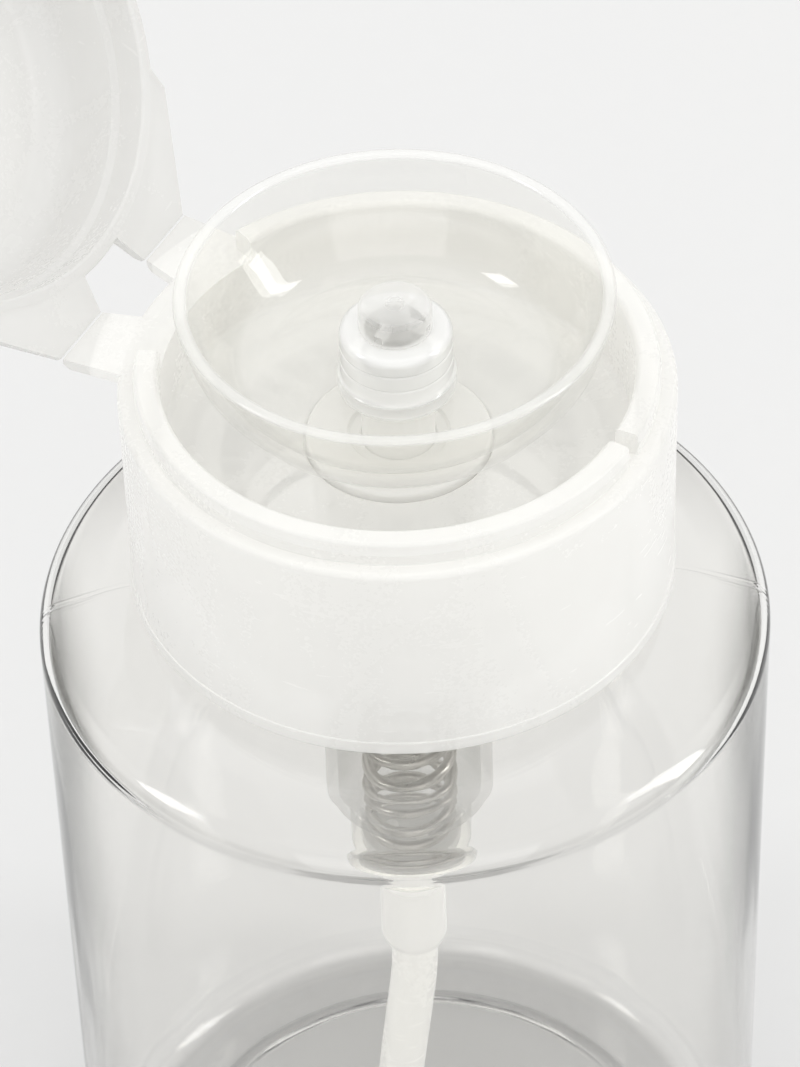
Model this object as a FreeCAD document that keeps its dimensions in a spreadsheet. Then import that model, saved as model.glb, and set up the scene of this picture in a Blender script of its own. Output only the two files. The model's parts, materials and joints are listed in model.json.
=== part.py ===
import FreeCAD, Part
import math
import os
import Sketcher

# Dish-top liquid pump on a clear round bottle, with a flip cap on a living hinge.
# The origin is the middle of the bottle's base, +Z is up and the hinge is at the back, on +Y.

SIZES = [
    ("bottle_diameter", 60.0, "body of the bottle"),
    ("shoulder_height", 78.1, "base to the shoulder's outer edge"),
    ("shoulder_rise", 3.9, "shoulder edge to neck root"),
    ("shoulder_crown_inset", 7.0, "side of the bottle to the shoulder's change of slope"),
    ("shoulder_crown_rise", 2.7, "rise up to that change of slope"),
    ("bottle_wall", 0.9, "side wall of the bottle"),
    ("bottle_floor", 1.2, "floor of the bottle"),
    ("push_up", 2.6, "recess under the base"),
    ("foot_width", 6.5, "side of the bottle to the recess under the base"),
    ("foot_slope", 3.0, "width of the recess's sloping side"),
    ("heel_round", 3.4, "round between base and side"),
    ("shoulder_round", 2.6, "round between side and shoulder"),
    ("crown_round", 12.0, "round over the shoulder's change of slope"),
    ("neck_round", 1.2, "round at the neck root"),
    ("neck_diameter", 30.0, "neck under the thread"),
    ("neck_wall", 1.8, "wall of the neck"),
    ("neck_height", 10.8, "neck root to sealing face"),
    ("thread_depth", 1.05, "height of the neck thread"),
    ("thread_width", 1.9, "root width of the neck thread"),
    ("thread_crest", 0.64, "width of the neck thread's crest"),
    ("thread_pitch", 4.2, "rise of the thread in one turn"),
    ("thread_turns", 1.4, "turns of thread on the neck"),
    ("thread_margin", 0.42, "top of the thread to the sealing face"),
    ("thread_clearance", 0.3, "thread crest to the bore of the closure"),
    ("gasket_thickness", 1.0, "sealing ring on the neck"),
    ("gasket_width", 3.2, "radial width of the sealing ring"),
    ("gasket_clearance", 0.5, "sealing ring to the bore of the closure"),
    ("skirt_gap", 3.15, "space between the inner skirt and the outer one"),
    ("collar_draft", 0.1, "how much wider the foot of the skirt is"),
    ("skirt_clearance", 0.9, "neck root to the foot of the outer skirt"),
    ("collar_wall", 1.3, "outer skirt"),
    ("collar_lip", 1.3, "height of the lip at the skirt's foot"),
    ("ledge_thickness", 1.4, "ledge that the cap rests on"),
    ("ledge_width", 1.4, "flat of the ledge outside the snap ring"),
    ("ledge_round", 0.47, "outer edge of the ledge"),
    ("ring_width", 1.9, "radial width of the snap ring"),
    ("ring_height", 2.05, "snap ring above the ledge"),
    ("ring_round", 0.475, "edges of the snap ring"),
    ("ring_gap_angle", 46.0, "opening of the snap ring at the hinge"),
    ("ring_notch", 1.5, "width of the notch in front"),
    ("snap_bead", 0.12, "bead on the outside of the snap ring"),
    ("snap_bead_height", 0.72, "bead on the outside of the snap ring"),
    ("well_depth", 6.0, "ledge to the floor of the well"),
    ("well_wall", 1.1, "wall of the well"),
    ("well_round", 0.55, "corner between the well's wall and floor"),
    ("deck_thickness", 1.4, "floor of the well"),
    ("inner_skirt_wall", 1.2, "skirt that screws on the neck"),
    ("inner_skirt_rise", 0.9, "foot of the inner skirt above the outer one"),
    ("rib_thickness", 0.9, "ribs between the two skirts"),
    ("rib_foot", 3.5, "foot of the ribs above the skirt's foot"),
    ("rib_bite", 0.4, "how deep a rib runs into what it joins"),
    ("rib_count", 8, "ribs between the two skirts"),
    ("cap_headroom", 1.0, "dish rim to the closed cap's roof"),
    ("cap_roof", 1.2, "roof of the cap"),
    ("cap_draft", 0.35, "how much narrower the cap's top is"),
    ("cap_edge_round", 3.8, "outer round of the cap's roof"),
    ("cap_inner_round", 3.0, "inner round of the cap's roof"),
    ("cap_snap_clearance", 0.2, "cap to snap ring"),
    ("cap_seat_clearance", 0.1, "closed cap to ledge"),
    ("cap_socket_depth", 3.0, "depth of the wide mouth of the cap"),
    ("cap_step", 0.5, "step above the wide mouth"),
    ("cap_open_angle", 128.0, "how far the cap stands open"),
    ("tab_width", 8.0, "thumb tab at the cap's rim"),
    ("tab_front", 6.0, "thumb tab at its front edge"),
    ("tab_reach", 1.3, "how far the tab stands out"),
    ("hinge_reach", 2.8, "collar to fold line"),
    ("hinge_gap", 0.05, "half of the gap left at the fold"),
    ("hinge_thickness", 0.95, "straps"),
    ("hinge_thinning", 0.45, "bevel beside the fold"),
    ("window_root", 2.4, "half width of the window at the collar and the cap"),
    ("window_fold", 3.5, "half width of the window at the fold"),
    ("strap_root", 9.2, "outer edge of the straps at the collar"),
    ("strap_fold", 9.7, "outer edge of the straps at the fold"),
    ("web_side", 16.4, "outer edge of the cap's web"),
    ("web_reach", 8.4, "fold to the widest place of the web"),
    ("dish_clearance", 1.4, "dish rim to the inside of the snap ring"),
    ("dish_wall", 1.15, "wall of the dish"),
    ("dish_stop_gap", 0.35, "pressed dish to stem guide"),
    ("dish_depth", 8.3, "rim to floor of the dish"),
    ("dish_flare", 1.2, "how much narrower the dish is at its waist"),
    ("dish_waist_drop", 4.7, "rim to waist"),
    ("dish_floor_inset", 4.7, "dish rim to the edge of its flat underside"),
    ("bowl_floor_inset", 0.6, "edge of the underside to the edge of the bowl's floor"),
    ("dish_waist_round", 7.0, "round of the bowl's side"),
    ("dish_floor_round", 4.0, "round of the bowl's floor"),
    ("dish_rim_round", 0.46, "edges of the dish's rim"),
    ("post_diameter", 8.9, "post in the middle of the dish"),
    ("post_height", 4.6, "dish floor to post top"),
    ("post_round", 1.1, "round of the post's top"),
    ("post_bore", 4.8, "hole for the nozzle's plug"),
    ("nozzle_diameter", 5.8, "splash nozzle's head"),
    ("nozzle_height", 2.25, "splash nozzle's head"),
    ("nozzle_seat_gap", 0.05, "head above the post"),
    ("nozzle_bore", 2.4, "channel in the nozzle"),
    ("nozzle_roof", 0.8, "head above the channel"),
    ("nozzle_round", 0.4, "edge of the splash nozzle's head"),
    ("nozzle_slit", 0.7, "side slits"),
    ("nozzle_slits", 4, "side slits"),
    ("nozzle_plug", 2.55, "plug that is pressed into the post"),
    ("gate_dimple", 0.5, "radius of the dimple on the head"),
    ("gate_depth", 0.25, "depth of the dimple on the head"),
    ("stem_diameter", 5.8, "tube that carries the dish"),
    ("stem_bore", 1.8, "channel in the stem"),
    ("stem_socket", 2.7, "stem inside the dish"),
    ("stem_length", 24.2, "whole stem"),
    ("stem_port", 1.2, "cross hole under the piston"),
    ("stem_port_gap", 0.1, "cross hole to the piston"),
    ("valve_clearance", 0.3, "outlet ball to the wall of its chamber"),
    ("valve_depth", 2.1, "depth of the outlet valve's chamber"),
    ("ball_diameter", 3.0, "steel check balls"),
    ("ball_clearance", 0.02, "ball above its seat"),
    ("press_travel", 5.0, "stroke of the dish"),
    ("guide_seat", 1.45, "how far the stem guide rests on the housing's flange"),
    ("guide_rise", 0.6, "stem guide above the floor of the well"),
    ("guide_clearance", 0.2, "stem guide to the deck's hole"),
    ("guide_skirt", 5.0, "stem guide inside the pump housing"),
    ("running_fit", 0.1, "radial clearance of stem and piston"),
    ("press_fit", 0.02, "radial clearance of parts that stay together"),
    ("flange_clearance", 1.85, "flange of the pump housing to the bore of the closure"),
    ("flange_thickness", 1.2, "flange of the pump housing"),
    ("housing_wall", 1.0, "wall of the wide barrel"),
    ("housing_bore", 11.9, "wide bore"),
    ("barrel_length", 38.9, "flange to the end of the wide barrel"),
    ("barrel_taper", 1.5, "cone between the barrels"),
    ("throat_wall", 0.9, "wall of the narrow barrel"),
    ("throat_bore", 8.8, "narrow bore"),
    ("throat_length", 5.5, "narrow barrel"),
    ("housing_cone", 3.6, "cone under the narrow barrel"),
    ("socket_wall", 0.83, "socket for the dip tube"),
    ("socket_length", 7.6, "socket for the dip tube"),
    ("tube_insert", 5.7, "dip tube inside the socket"),
    ("inlet_bore", 2.0, "passage under the inlet ball"),
    ("inlet_clearance", 0.9, "inlet ball to the wall of its chamber"),
    ("inlet_chamber_depth", 2.2, "chamber of the inlet ball"),
    ("piston_length", 6.0, "piston sleeve"),
    ("piston_gap", 0.2, "stem guide to piston"),
    ("piston_relief", 0.5, "waist between the piston's two lips"),
    ("piston_lip", 1.2, "height of each lip"),
    ("rod_cup", 1.6, "depth of the spring cup's socket"),
    ("rod_floor", 1.2, "floor of the spring cup"),
    ("pilot_clearance", 0.3, "pilot to the inside of the spring"),
    ("rod_pilot", 3.2, "pilot inside the spring"),
    ("spring_clearance", 0.4, "spring to the narrow bore"),
    ("spring_wire", 0.9, "wire"),
    ("spring_turns", 13.0, "active turns"),
    ("retainer_thickness", 1.2, "retainer over the inlet ball"),
    ("retainer_hole", 1.2, "holes of the retainer"),
    ("retainer_pitch", 1.7, "radius on which the holes lie"),
    ("retainer_holes", 3, "holes of the retainer"),
    ("tube_diameter", 4.0, "dip tube"),
    ("tube_wall", 0.6, "dip tube"),
    ("tube_lean", 6.2, "how far the dip tube leans"),
    ("tube_heading", 29.2, "direction of the lean, from +Y towards -X"),
    ("tube_bend", 45.0, "bend radius of the dip tube"),
    ("tube_lead", 1.5, "socket to the start of the bend"),
    ("tube_foot", 3.0, "foot of the dip tube above the floor"),
]

document = FreeCAD.newDocument("DishPump")
sheet = document.addObject("Spreadsheet::Sheet", "Sizes")
subParts = []


def fillSheet():
    for row, (alias, size, note) in enumerate(SIZES, start=1):
        sheet.set(f"A{row}", alias)
        sheet.set(f"B{row}", str(size))
        sheet.set(f"C{row}", note)
        sheet.setAlias(f"B{row}", alias)
    document.recompute()


def size(expression):
    return float(sheet.evalExpression(expression))


def cell(alias):
    return f"Sizes.{alias}"


def radius(alias):
    return f"Sizes.{alias} / 2"


def total(*terms):
    return " + ".join(f"({term})" for term in terms)


def less(first, *others):
    return f"({first})" + "".join(f" - ({other})" for other in others)


# Levels above the base, each built on the one below it.
NECK_ROOT = total(cell("shoulder_height"), cell("shoulder_rise"))
NECK_TOP = total(NECK_ROOT, cell("neck_height"))
FLANGE_FOOT = total(NECK_TOP, cell("gasket_thickness"))
DECK_FOOT = total(FLANGE_FOOT, cell("flange_thickness"))
WELL_FLOOR = total(DECK_FOOT, cell("deck_thickness"))
LEDGE = total(WELL_FLOOR, cell("well_depth"))
SKIRT_FOOT = total(NECK_ROOT, cell("skirt_clearance"))
COLLAR_HEIGHT = less(LEDGE, SKIRT_FOOT)
GUIDE_TOP = total(WELL_FLOOR, cell("guide_rise"))
DISH_FOOT = total(GUIDE_TOP, cell("press_travel"), cell("dish_stop_gap"))
DISH_TOP = total(DISH_FOOT, cell("dish_wall"), cell("dish_depth"))
STEM_TOP = total(DISH_FOOT, cell("stem_socket"))
STEM_FOOT = less(STEM_TOP, cell("stem_length"))
GUIDE_FOOT = less(DECK_FOOT, cell("guide_skirt"))
PISTON_FOOT = less(GUIDE_FOOT, cell("piston_gap"), cell("piston_length"))
CUP_FOOT = less(STEM_FOOT, cell("rod_floor"))
THROAT_FOOT = less(
    FLANGE_FOOT, cell("barrel_length"), cell("barrel_taper"), cell("throat_length")
)
RETAINER_TOP = total(THROAT_FOOT, cell("retainer_thickness"))
HOUSING_FOOT = less(THROAT_FOOT, cell("housing_cone"), cell("socket_length"))

# Radii that more than one piece uses.
NECK_BORE = less(radius("neck_diameter"), cell("neck_wall"))
CLOSURE_BORE = total(radius("neck_diameter"), cell("thread_depth"), cell("thread_clearance"))
INNER_SKIRT = total(CLOSURE_BORE, cell("inner_skirt_wall"))
SKIRT_LINING = total(INNER_SKIRT, cell("skirt_gap"))
COLLAR_SIDE = total(SKIRT_LINING, cell("collar_wall"))
RING_OUTSIDE = less(COLLAR_SIDE, cell("ledge_width"))
RING_INSIDE = less(RING_OUTSIDE, cell("ring_width"))
CAP_MOUTH = total(RING_OUTSIDE, cell("cap_snap_clearance"))
FOLD = total(COLLAR_SIDE, cell("hinge_reach"))
GUIDE_SIDE = total(radius("housing_bore"), cell("guide_seat"))
SPRING_OUTSIDE = less(radius("throat_bore"), cell("spring_clearance"))
VALVE_CHAMBER = total(radius("ball_diameter"), cell("valve_clearance"))
INLET_CHAMBER = total(radius("ball_diameter"), cell("inlet_clearance"))


def newBody(name):
    body = document.addObject("PartDesign::Body", name)
    body.Label = name
    subParts.append(body)
    return body


def place(body, height):
    body.setExpression("Placement.Base.z", height)


def plane(body, role):
    return next(item for item in body.Origin.OriginFeatures if item.Role == role)


def newSketch(body, name, role, offset=None):
    sketch = body.newObject("Sketcher::SketchObject", name)
    sketch.AttachmentSupport = [(plane(body, role), "")]
    sketch.MapMode = "FlatFace"
    if offset:
        sketch.setExpression("AttachmentOffset.Base.z", offset)
    return sketch


def bind(sketch, expression, kind, *where):
    # Adds a measured constraint whose value follows the sheet.
    index = sketch.addConstraint(Sketcher.Constraint(kind, *where, size(expression)))
    sketch.setExpression(f"Constraints[{index}]", expression)


def pin(sketch, line, axis, expression):
    # Ties one coordinate of a line's first end, or puts that end on the sketch's own axis.
    if expression == "0":
        other = {"X": -2, "Y": -1}[axis]
        sketch.addConstraint(Sketcher.Constraint("PointOnObject", line, 1, other))
        return
    bind(sketch, expression, "Distance" + axis, -1, 1, line, 1)


def polygon(sketch, corners):
    points = [FreeCAD.Vector(size(x), size(y), 0) for x, y in corners]
    first = sketch.GeometryCount
    count = len(points)
    for index, point in enumerate(points):
        sketch.addGeometry(Part.LineSegment(point, points[(index + 1) % count]))
    for index in range(count):
        following = first + (index + 1) % count
        sketch.addConstraint(Sketcher.Constraint("Coincident", first + index, 2, following, 1))
    for index, (x, y) in enumerate(corners):
        pin(sketch, first + index, "X", x)
        pin(sketch, first + index, "Y", y)


def circle(sketch, expression):
    ring = Part.Circle(FreeCAD.Vector(0, 0, 0), FreeCAD.Vector(0, 0, 1), size(expression))
    index = sketch.addGeometry(ring)
    sketch.addConstraint(Sketcher.Constraint("Coincident", index, 3, -1, 1))
    bind(sketch, expression, "Radius", index)


def roundEdges(body, name, corners, expression):
    # Rounds the circular edges that pass through the given radius and height.
    document.recompute()
    base = body.Tip
    names = []
    for index, edge in enumerate(base.Shape.Edges, start=1):
        curve = edge.Curve
        if not isinstance(curve, Part.Circle):
            continue
        for x, y in corners:
            near = abs(curve.Radius - size(x)) < 1e-3 and abs(curve.Center.z - size(y)) < 1e-3
            if near:
                names.append(f"Edge{index}")
    if len(names) < len(corners):
        raise RuntimeError(f"{body.Label}: {name} found {len(names)} edges of {len(corners)}")
    fillet = body.newObject("PartDesign::Fillet", name)
    fillet.Base = (base, names)
    fillet.Radius = size(expression)
    fillet.setExpression("Radius", expression)
    return fillet


def revolve(name, outline):
    # A turned piece: its half section, on the XZ plane, goes round Z.
    body = newBody(name)
    sketch = newSketch(body, name + "_section", "XZ_Plane")
    polygon(sketch, outline)
    turned = body.newObject("PartDesign::Revolution", name + "_turned")
    turned.Profile = sketch
    turned.ReferenceAxis = (sketch, ["V_Axis"])
    turned.Angle = 360
    return body


def pad(body, name, sketch, length):
    feature = body.newObject("PartDesign::Pad", name)
    feature.Profile = sketch
    feature.setExpression("Length", length)
    return feature


def pocket(body, name, sketch, length, reverse):
    document.recompute()
    before = body.Shape.Volume
    feature = body.newObject("PartDesign::Pocket", name)
    feature.Profile = sketch
    feature.Reversed = reverse
    feature.setExpression("Length", length)
    document.recompute()
    if feature.Shape.Volume >= before:
        raise RuntimeError(f"{body.Label}: {name} cuts nothing")
    return feature


def repeatRound(body, name, feature, count):
    pattern = body.newObject("PartDesign::PolarPattern", name)
    pattern.Originals = [feature]
    pattern.Axis = (plane(body, "Z_Axis"), [""])
    pattern.Angle = 360
    pattern.setExpression("Occurrences", count)
    body.Tip = pattern
    return pattern


def mirror(body, name, features):
    mirrored = body.newObject("PartDesign::Mirrored", name)
    mirrored.Originals = features
    mirrored.MirrorPlane = (plane(body, "YZ_Plane"), [""])
    body.Tip = mirrored
    return mirrored


def makeBottle():
    side = radius("bottle_diameter")
    inside = less(side, cell("bottle_wall"))
    crown = total(cell("shoulder_height"), cell("shoulder_crown_rise"))
    crownRadius = less(side, cell("shoulder_crown_inset"))
    foot = less(side, cell("foot_width"))
    recess = less(foot, cell("foot_slope"))
    floor = cell("bottle_floor")
    wall = cell("bottle_wall")
    body = revolve("bottle", [
        ("0", cell("push_up")),
        (recess, cell("push_up")),
        (foot, "0"),
        (side, "0"),
        (side, cell("shoulder_height")),
        (crownRadius, crown),
        (radius("neck_diameter"), NECK_ROOT),
        (radius("neck_diameter"), NECK_TOP),
        (NECK_BORE, NECK_TOP),
        (NECK_BORE, less(NECK_ROOT, wall)),
        (crownRadius, less(crown, wall)),
        (inside, less(cell("shoulder_height"), wall)),
        (inside, floor),
        (foot, floor),
        (recess, total(cell("push_up"), floor)),
        ("0", total(cell("push_up"), floor)),
    ])
    height = cell("shoulder_height")
    innerHeight = less(height, wall)
    heel = cell("heel_round")
    edge = cell("shoulder_round")
    roundEdges(body, "heel", [(side, "0")], heel)
    roundEdges(body, "inner_heel", [(inside, floor)], less(heel, wall))
    roundEdges(body, "shoulder_edge", [(side, height)], edge)
    roundEdges(body, "inner_shoulder_edge", [(inside, innerHeight)], less(edge, wall))
    roundEdges(body, "crown", [(crownRadius, crown)], cell("crown_round"))
    roundEdges(body, "neck_root", [(radius("neck_diameter"), NECK_ROOT)], cell("neck_round"))
    addThread(body)


def addThread(body):
    document.recompute()
    sketch = newSketch(body, "thread_section", "XZ_Plane")
    root = less(radius("neck_diameter"), cell("bottle_wall"))
    crest = total(radius("neck_diameter"), cell("thread_depth"))
    width = cell("thread_width")
    rise = f"{cell('thread_pitch')} * {cell('thread_turns')}"
    start = less(NECK_TOP, cell("thread_margin"), width, rise)
    flank = f"({width} - {cell('thread_crest')}) / 2"
    polygon(sketch, [
        (root, start),
        (crest, total(start, flank)),
        (crest, less(total(start, width), flank)),
        (root, total(start, width)),
    ])
    helix = body.newObject("PartDesign::AdditiveHelix", "thread")
    helix.Profile = sketch
    helix.ReferenceAxis = (sketch, ["V_Axis"])
    helix.Mode = "pitch-turns-angle"
    helix.setExpression("Pitch", cell("thread_pitch"))
    helix.setExpression("Turns", cell("thread_turns"))


def makeGasket():
    outside = less(CLOSURE_BORE, cell("gasket_clearance"))
    inside = less(outside, cell("gasket_width"))
    top = cell("gasket_thickness")
    body = revolve("neck_gasket", [(inside, "0"), (outside, "0"), (outside, top), (inside, top)])
    place(body, NECK_TOP)


def makeCollar():
    side = COLLAR_SIDE
    foot = total(side, cell("collar_draft"))
    ledge = COLLAR_HEIGHT
    floor = less(ledge, cell("well_depth"))
    deck = less(floor, cell("deck_thickness"))
    ringTop = total(ledge, cell("ring_height"))
    bead = total(RING_OUTSIDE, cell("snap_bead"))
    beadLevel = total(ledge, f"{cell('ring_height')} / 2")
    beadHalf = radius("snap_bead_height")
    hole = total(GUIDE_SIDE, cell("guide_clearance"))
    wellOutside = total(RING_INSIDE, cell("well_wall"))
    body = revolve("collar", [
        (SKIRT_LINING, "0"),
        (foot, "0"),
        (foot, cell("collar_lip")),
        (side, total(cell("collar_lip"), cell("collar_draft"))),
        (side, ledge),
        (RING_OUTSIDE, ledge),
        (RING_OUTSIDE, less(beadLevel, beadHalf)),
        (bead, beadLevel),
        (RING_OUTSIDE, total(beadLevel, beadHalf)),
        (RING_OUTSIDE, ringTop),
        (RING_INSIDE, ringTop),
        (RING_INSIDE, floor),
        (hole, floor),
        (hole, deck),
        (CLOSURE_BORE, deck),
        (CLOSURE_BORE, cell("inner_skirt_rise")),
        (INNER_SKIRT, cell("inner_skirt_rise")),
        (INNER_SKIRT, deck),
        (wellOutside, deck),
        (wellOutside, less(ledge, cell("ledge_thickness"))),
        (SKIRT_LINING, less(ledge, cell("ledge_thickness"))),
    ])
    place(body, SKIRT_FOOT)
    ringEdges = [(RING_OUTSIDE, ringTop), (RING_INSIDE, ringTop)]
    roundEdges(body, "ring_edges", ringEdges, cell("ring_round"))
    roundEdges(body, "ledge_edge", [(side, ledge)], cell("ledge_round"))
    roundEdges(body, "well_corner", [(RING_INSIDE, floor)], cell("well_round"))
    cutRing(body)
    addRibs(body, deck)
    addStraps(body)


def cutRing(body):
    # The snap ring is open at the hinge and has a narrow notch in front.
    half = f"tan({cell('ring_gap_angle')} / 2 * 1deg)"
    beyond = COLLAR_SIDE
    within = less(RING_INSIDE, cell("ring_width"))
    gap = newSketch(body, "hinge_gap_outline", "XY_Plane", COLLAR_HEIGHT)
    polygon(gap, [
        (f"-({within}) * {half}", within),
        (f"({within}) * {half}", within),
        (f"({beyond}) * {half}", beyond),
        (f"-({beyond}) * {half}", beyond),
    ])
    pocket(body, "hinge_gap", gap, cell("ring_height"), True)
    halfNotch = radius("ring_notch")
    notch = newSketch(body, "front_notch_outline", "XY_Plane", COLLAR_HEIGHT)
    polygon(notch, [
        (f"-({halfNotch})", f"-({beyond})"),
        (halfNotch, f"-({beyond})"),
        (halfNotch, f"-({within})"),
        (f"-({halfNotch})", f"-({within})"),
    ])
    pocket(body, "front_notch", notch, cell("ring_height"), True)


def addRibs(body, deck):
    bite = cell("rib_bite")
    half = radius("rib_thickness")
    outline = newSketch(body, "rib_outline", "XY_Plane", cell("rib_foot"))
    near = less(INNER_SKIRT, bite)
    far = total(SKIRT_LINING, bite)
    polygon(outline, [(f"-({half})", near), (half, near), (half, far), (f"-({half})", far)])
    rib = pad(body, "rib", outline, total(less(deck, cell("rib_foot")), bite))
    repeatRound(body, "ribs", rib, cell("rib_count"))


def bevelFold(body, name, foldLine, level):
    # Thins the strap beside the fold, on the side that faces away from the fold's axis.
    document.recompute()
    base = body.Tip
    names = []
    for index, edge in enumerate(base.Shape.Edges, start=1):
        if not isinstance(edge.Curve, Part.Line):
            continue
        atFold = all(abs(vertex.Y - size(foldLine)) < 1e-3 for vertex in edge.Vertexes)
        atLevel = all(abs(vertex.Z - size(level)) < 1e-3 for vertex in edge.Vertexes)
        if atFold and atLevel:
            names.append(f"Edge{index}")
    if not names:
        raise RuntimeError(f"{body.Label}: {name} found no edge at the fold")
    bevel = body.newObject("PartDesign::Chamfer", name)
    bevel.Base = (base, names)
    bevel.setExpression("Size", cell("hinge_thinning"))


def addStraps(body):
    middle = less(COLLAR_SIDE, radius("collar_wall"))
    fold = less(FOLD, cell("hinge_gap"))
    top = COLLAR_HEIGHT
    foot = less(top, cell("hinge_thickness"))
    inner = f"sqrt(({middle})^2 - {cell('window_root')}^2)"
    outer = f"sqrt(({middle})^2 - {cell('strap_root')}^2)"
    outline = newSketch(body, "strap_outline", "XY_Plane", foot)
    polygon(outline, [
        (cell("window_root"), inner),
        (cell("strap_root"), outer),
        (cell("strap_fold"), fold),
        (cell("window_fold"), fold),
    ])
    strap = pad(body, "strap", outline, cell("hinge_thickness"))
    mirror(body, "straps", [strap])
    bevelFold(body, "fold_bevel", fold, foot)


def makeCap():
    # Drawn closed, round its own axis with the ledge at height 0, then swung open on the fold.
    side = COLLAR_SIDE
    roof = total(less(DISH_TOP, LEDGE), cell("cap_headroom"))
    top = total(roof, cell("cap_roof"))
    seat = cell("cap_seat_clearance")
    narrow = less(CAP_MOUTH, cell("cap_step"))
    topSide = less(side, cell("cap_draft"))
    topInside = less(narrow, cell("cap_draft"))
    mouthTop = cell("cap_socket_depth")
    body = revolve("flip_cap", [
        (CAP_MOUTH, seat),
        (side, seat),
        (topSide, top),
        ("0", top),
        ("0", roof),
        (topInside, roof),
        (narrow, total(mouthTop, cell("cap_step"))),
        (CAP_MOUTH, mouthTop),
    ])
    roundEdges(body, "roof_edge", [(topSide, top)], cell("cap_edge_round"))
    roundEdges(body, "roof_inner_edge", [(topInside, roof)], cell("cap_inner_round"))
    addWeb(body, seat)
    addTab(body, seat)
    angle = f"{cell('cap_open_angle')} * 1deg"
    body.Placement = FreeCAD.Placement(
        FreeCAD.Vector(0, 0, 0), FreeCAD.Rotation(FreeCAD.Vector(-1, 0, 0), 1)
    )
    body.setExpression("Placement.Rotation.Angle", angle)
    body.setExpression("Placement.Base.y", f"({FOLD}) * (1 - cos({angle}))")
    body.setExpression("Placement.Base.z", total(LEDGE, f"({FOLD}) * sin({angle})"))


def addWeb(body, seat):
    # Flared web from the cap's rim to its two straps.
    rim = f"({COLLAR_SIDE} + {CAP_MOUTH}) / 2"
    fold = less(FOLD, cell("hinge_gap"))
    side = cell("web_side")
    inner = f"sqrt(({rim})^2 - {cell('window_root')}^2)"
    flank = f"sqrt(({rim})^2 - {side}^2)"
    outline = newSketch(body, "web_outline", "XY_Plane", seat)
    polygon(outline, [
        (cell("window_root"), inner),
        (side, flank),
        (side, less(FOLD, cell("web_reach"))),
        (cell("strap_fold"), fold),
        (cell("window_fold"), fold),
    ])
    web = pad(body, "web", outline, cell("hinge_thickness"))
    mirror(body, "webs", [web])
    mouth = newSketch(body, "mouth_outline", "XY_Plane", seat)
    circle(mouth, CAP_MOUTH)
    pocket(body, "mouth", mouth, cell("hinge_thickness"), True)
    bevelFold(body, "web_bevel", fold, total(seat, cell("hinge_thickness")))


def addTab(body, seat):
    half = radius("tab_width")
    halfFront = radius("tab_front")
    rim = f"({COLLAR_SIDE} + {CAP_MOUTH}) / 2"
    front = total(COLLAR_SIDE, cell("tab_reach"))
    root = f"sqrt(({rim})^2 - ({half})^2)"
    outline = newSketch(body, "tab_outline", "XY_Plane", seat)
    polygon(outline, [
        (f"-({half})", f"-({root})"),
        (f"-({halfFront})", f"-({front})"),
        (halfFront, f"-({front})"),
        (half, f"-({root})"),
    ])
    pad(body, "tab", outline, cell("hinge_thickness"))


def makeDish():
    rim = less(RING_INSIDE, cell("dish_clearance"))
    wall = cell("dish_wall")
    rimLevel = total(wall, cell("dish_depth"))
    waist = less(rim, cell("dish_flare"))
    waistLevel = less(rimLevel, cell("dish_waist_drop"))
    base = less(rim, cell("dish_floor_inset"))
    bowlFloor = less(base, cell("bowl_floor_inset"))
    postTop = total(wall, cell("post_height"))
    post = radius("post_diameter")
    socket = total(radius("stem_diameter"), cell("press_fit"))
    body = revolve("dish", [
        (socket, "0"),
        (base, "0"),
        (waist, waistLevel),
        (rim, rimLevel),
        (less(rim, wall), rimLevel),
        (less(waist, wall), waistLevel),
        (bowlFloor, wall),
        (post, wall),
        (post, postTop),
        (total(radius("post_bore"), cell("press_fit")), postTop),
        (total(radius("post_bore"), cell("press_fit")), cell("stem_socket")),
        (socket, cell("stem_socket")),
    ])
    place(body, DISH_FOOT)
    sideRound = cell("dish_waist_round")
    floorRound = cell("dish_floor_round")
    roundEdges(body, "outer_waist", [(waist, waistLevel)], sideRound)
    roundEdges(body, "inner_waist", [(less(waist, wall), waistLevel)], less(sideRound, wall))
    roundEdges(body, "underside", [(base, "0")], floorRound)
    roundEdges(body, "bowl_floor", [(bowlFloor, wall)], less(floorRound, wall))
    rimEdges = [(rim, rimLevel), (less(rim, wall), rimLevel)]
    roundEdges(body, "rim", rimEdges, cell("dish_rim_round"))
    roundEdges(body, "post_top", [(post, postTop)], cell("post_round"))


def makeNozzle():
    head = radius("nozzle_diameter")
    plug = radius("post_bore")
    bore = radius("nozzle_bore")
    seat = cell("nozzle_plug")
    top = total(seat, cell("nozzle_height"))
    body = revolve("splash_nozzle", [
        (bore, "0"),
        (plug, "0"),
        (plug, seat),
        (head, seat),
        (head, top),
        (cell("gate_dimple"), top),
        ("0", less(top, cell("gate_depth"))),
        ("0", less(top, cell("nozzle_roof"))),
        (bore, less(top, cell("nozzle_roof"))),
    ])
    roundEdges(body, "head_edge", [(head, top)], cell("nozzle_round"))
    half = radius("nozzle_slit")
    reach = total(head, cell("nozzle_slit"))
    slit = newSketch(body, "slit_section", "XZ_Plane")
    polygon(slit, [
        (f"-({half})", total(seat, half)),
        (half, total(seat, half)),
        (half, total(seat, cell("nozzle_slit"), half)),
        (f"-({half})", total(seat, cell("nozzle_slit"), half)),
    ])
    cut = pocket(body, "slit", slit, reach, False)
    repeatRound(body, "slits", cut, cell("nozzle_slits"))
    postTop = total(DISH_FOOT, cell("dish_wall"), cell("post_height"))
    place(body, less(total(postTop, cell("nozzle_seat_gap")), seat))


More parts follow.
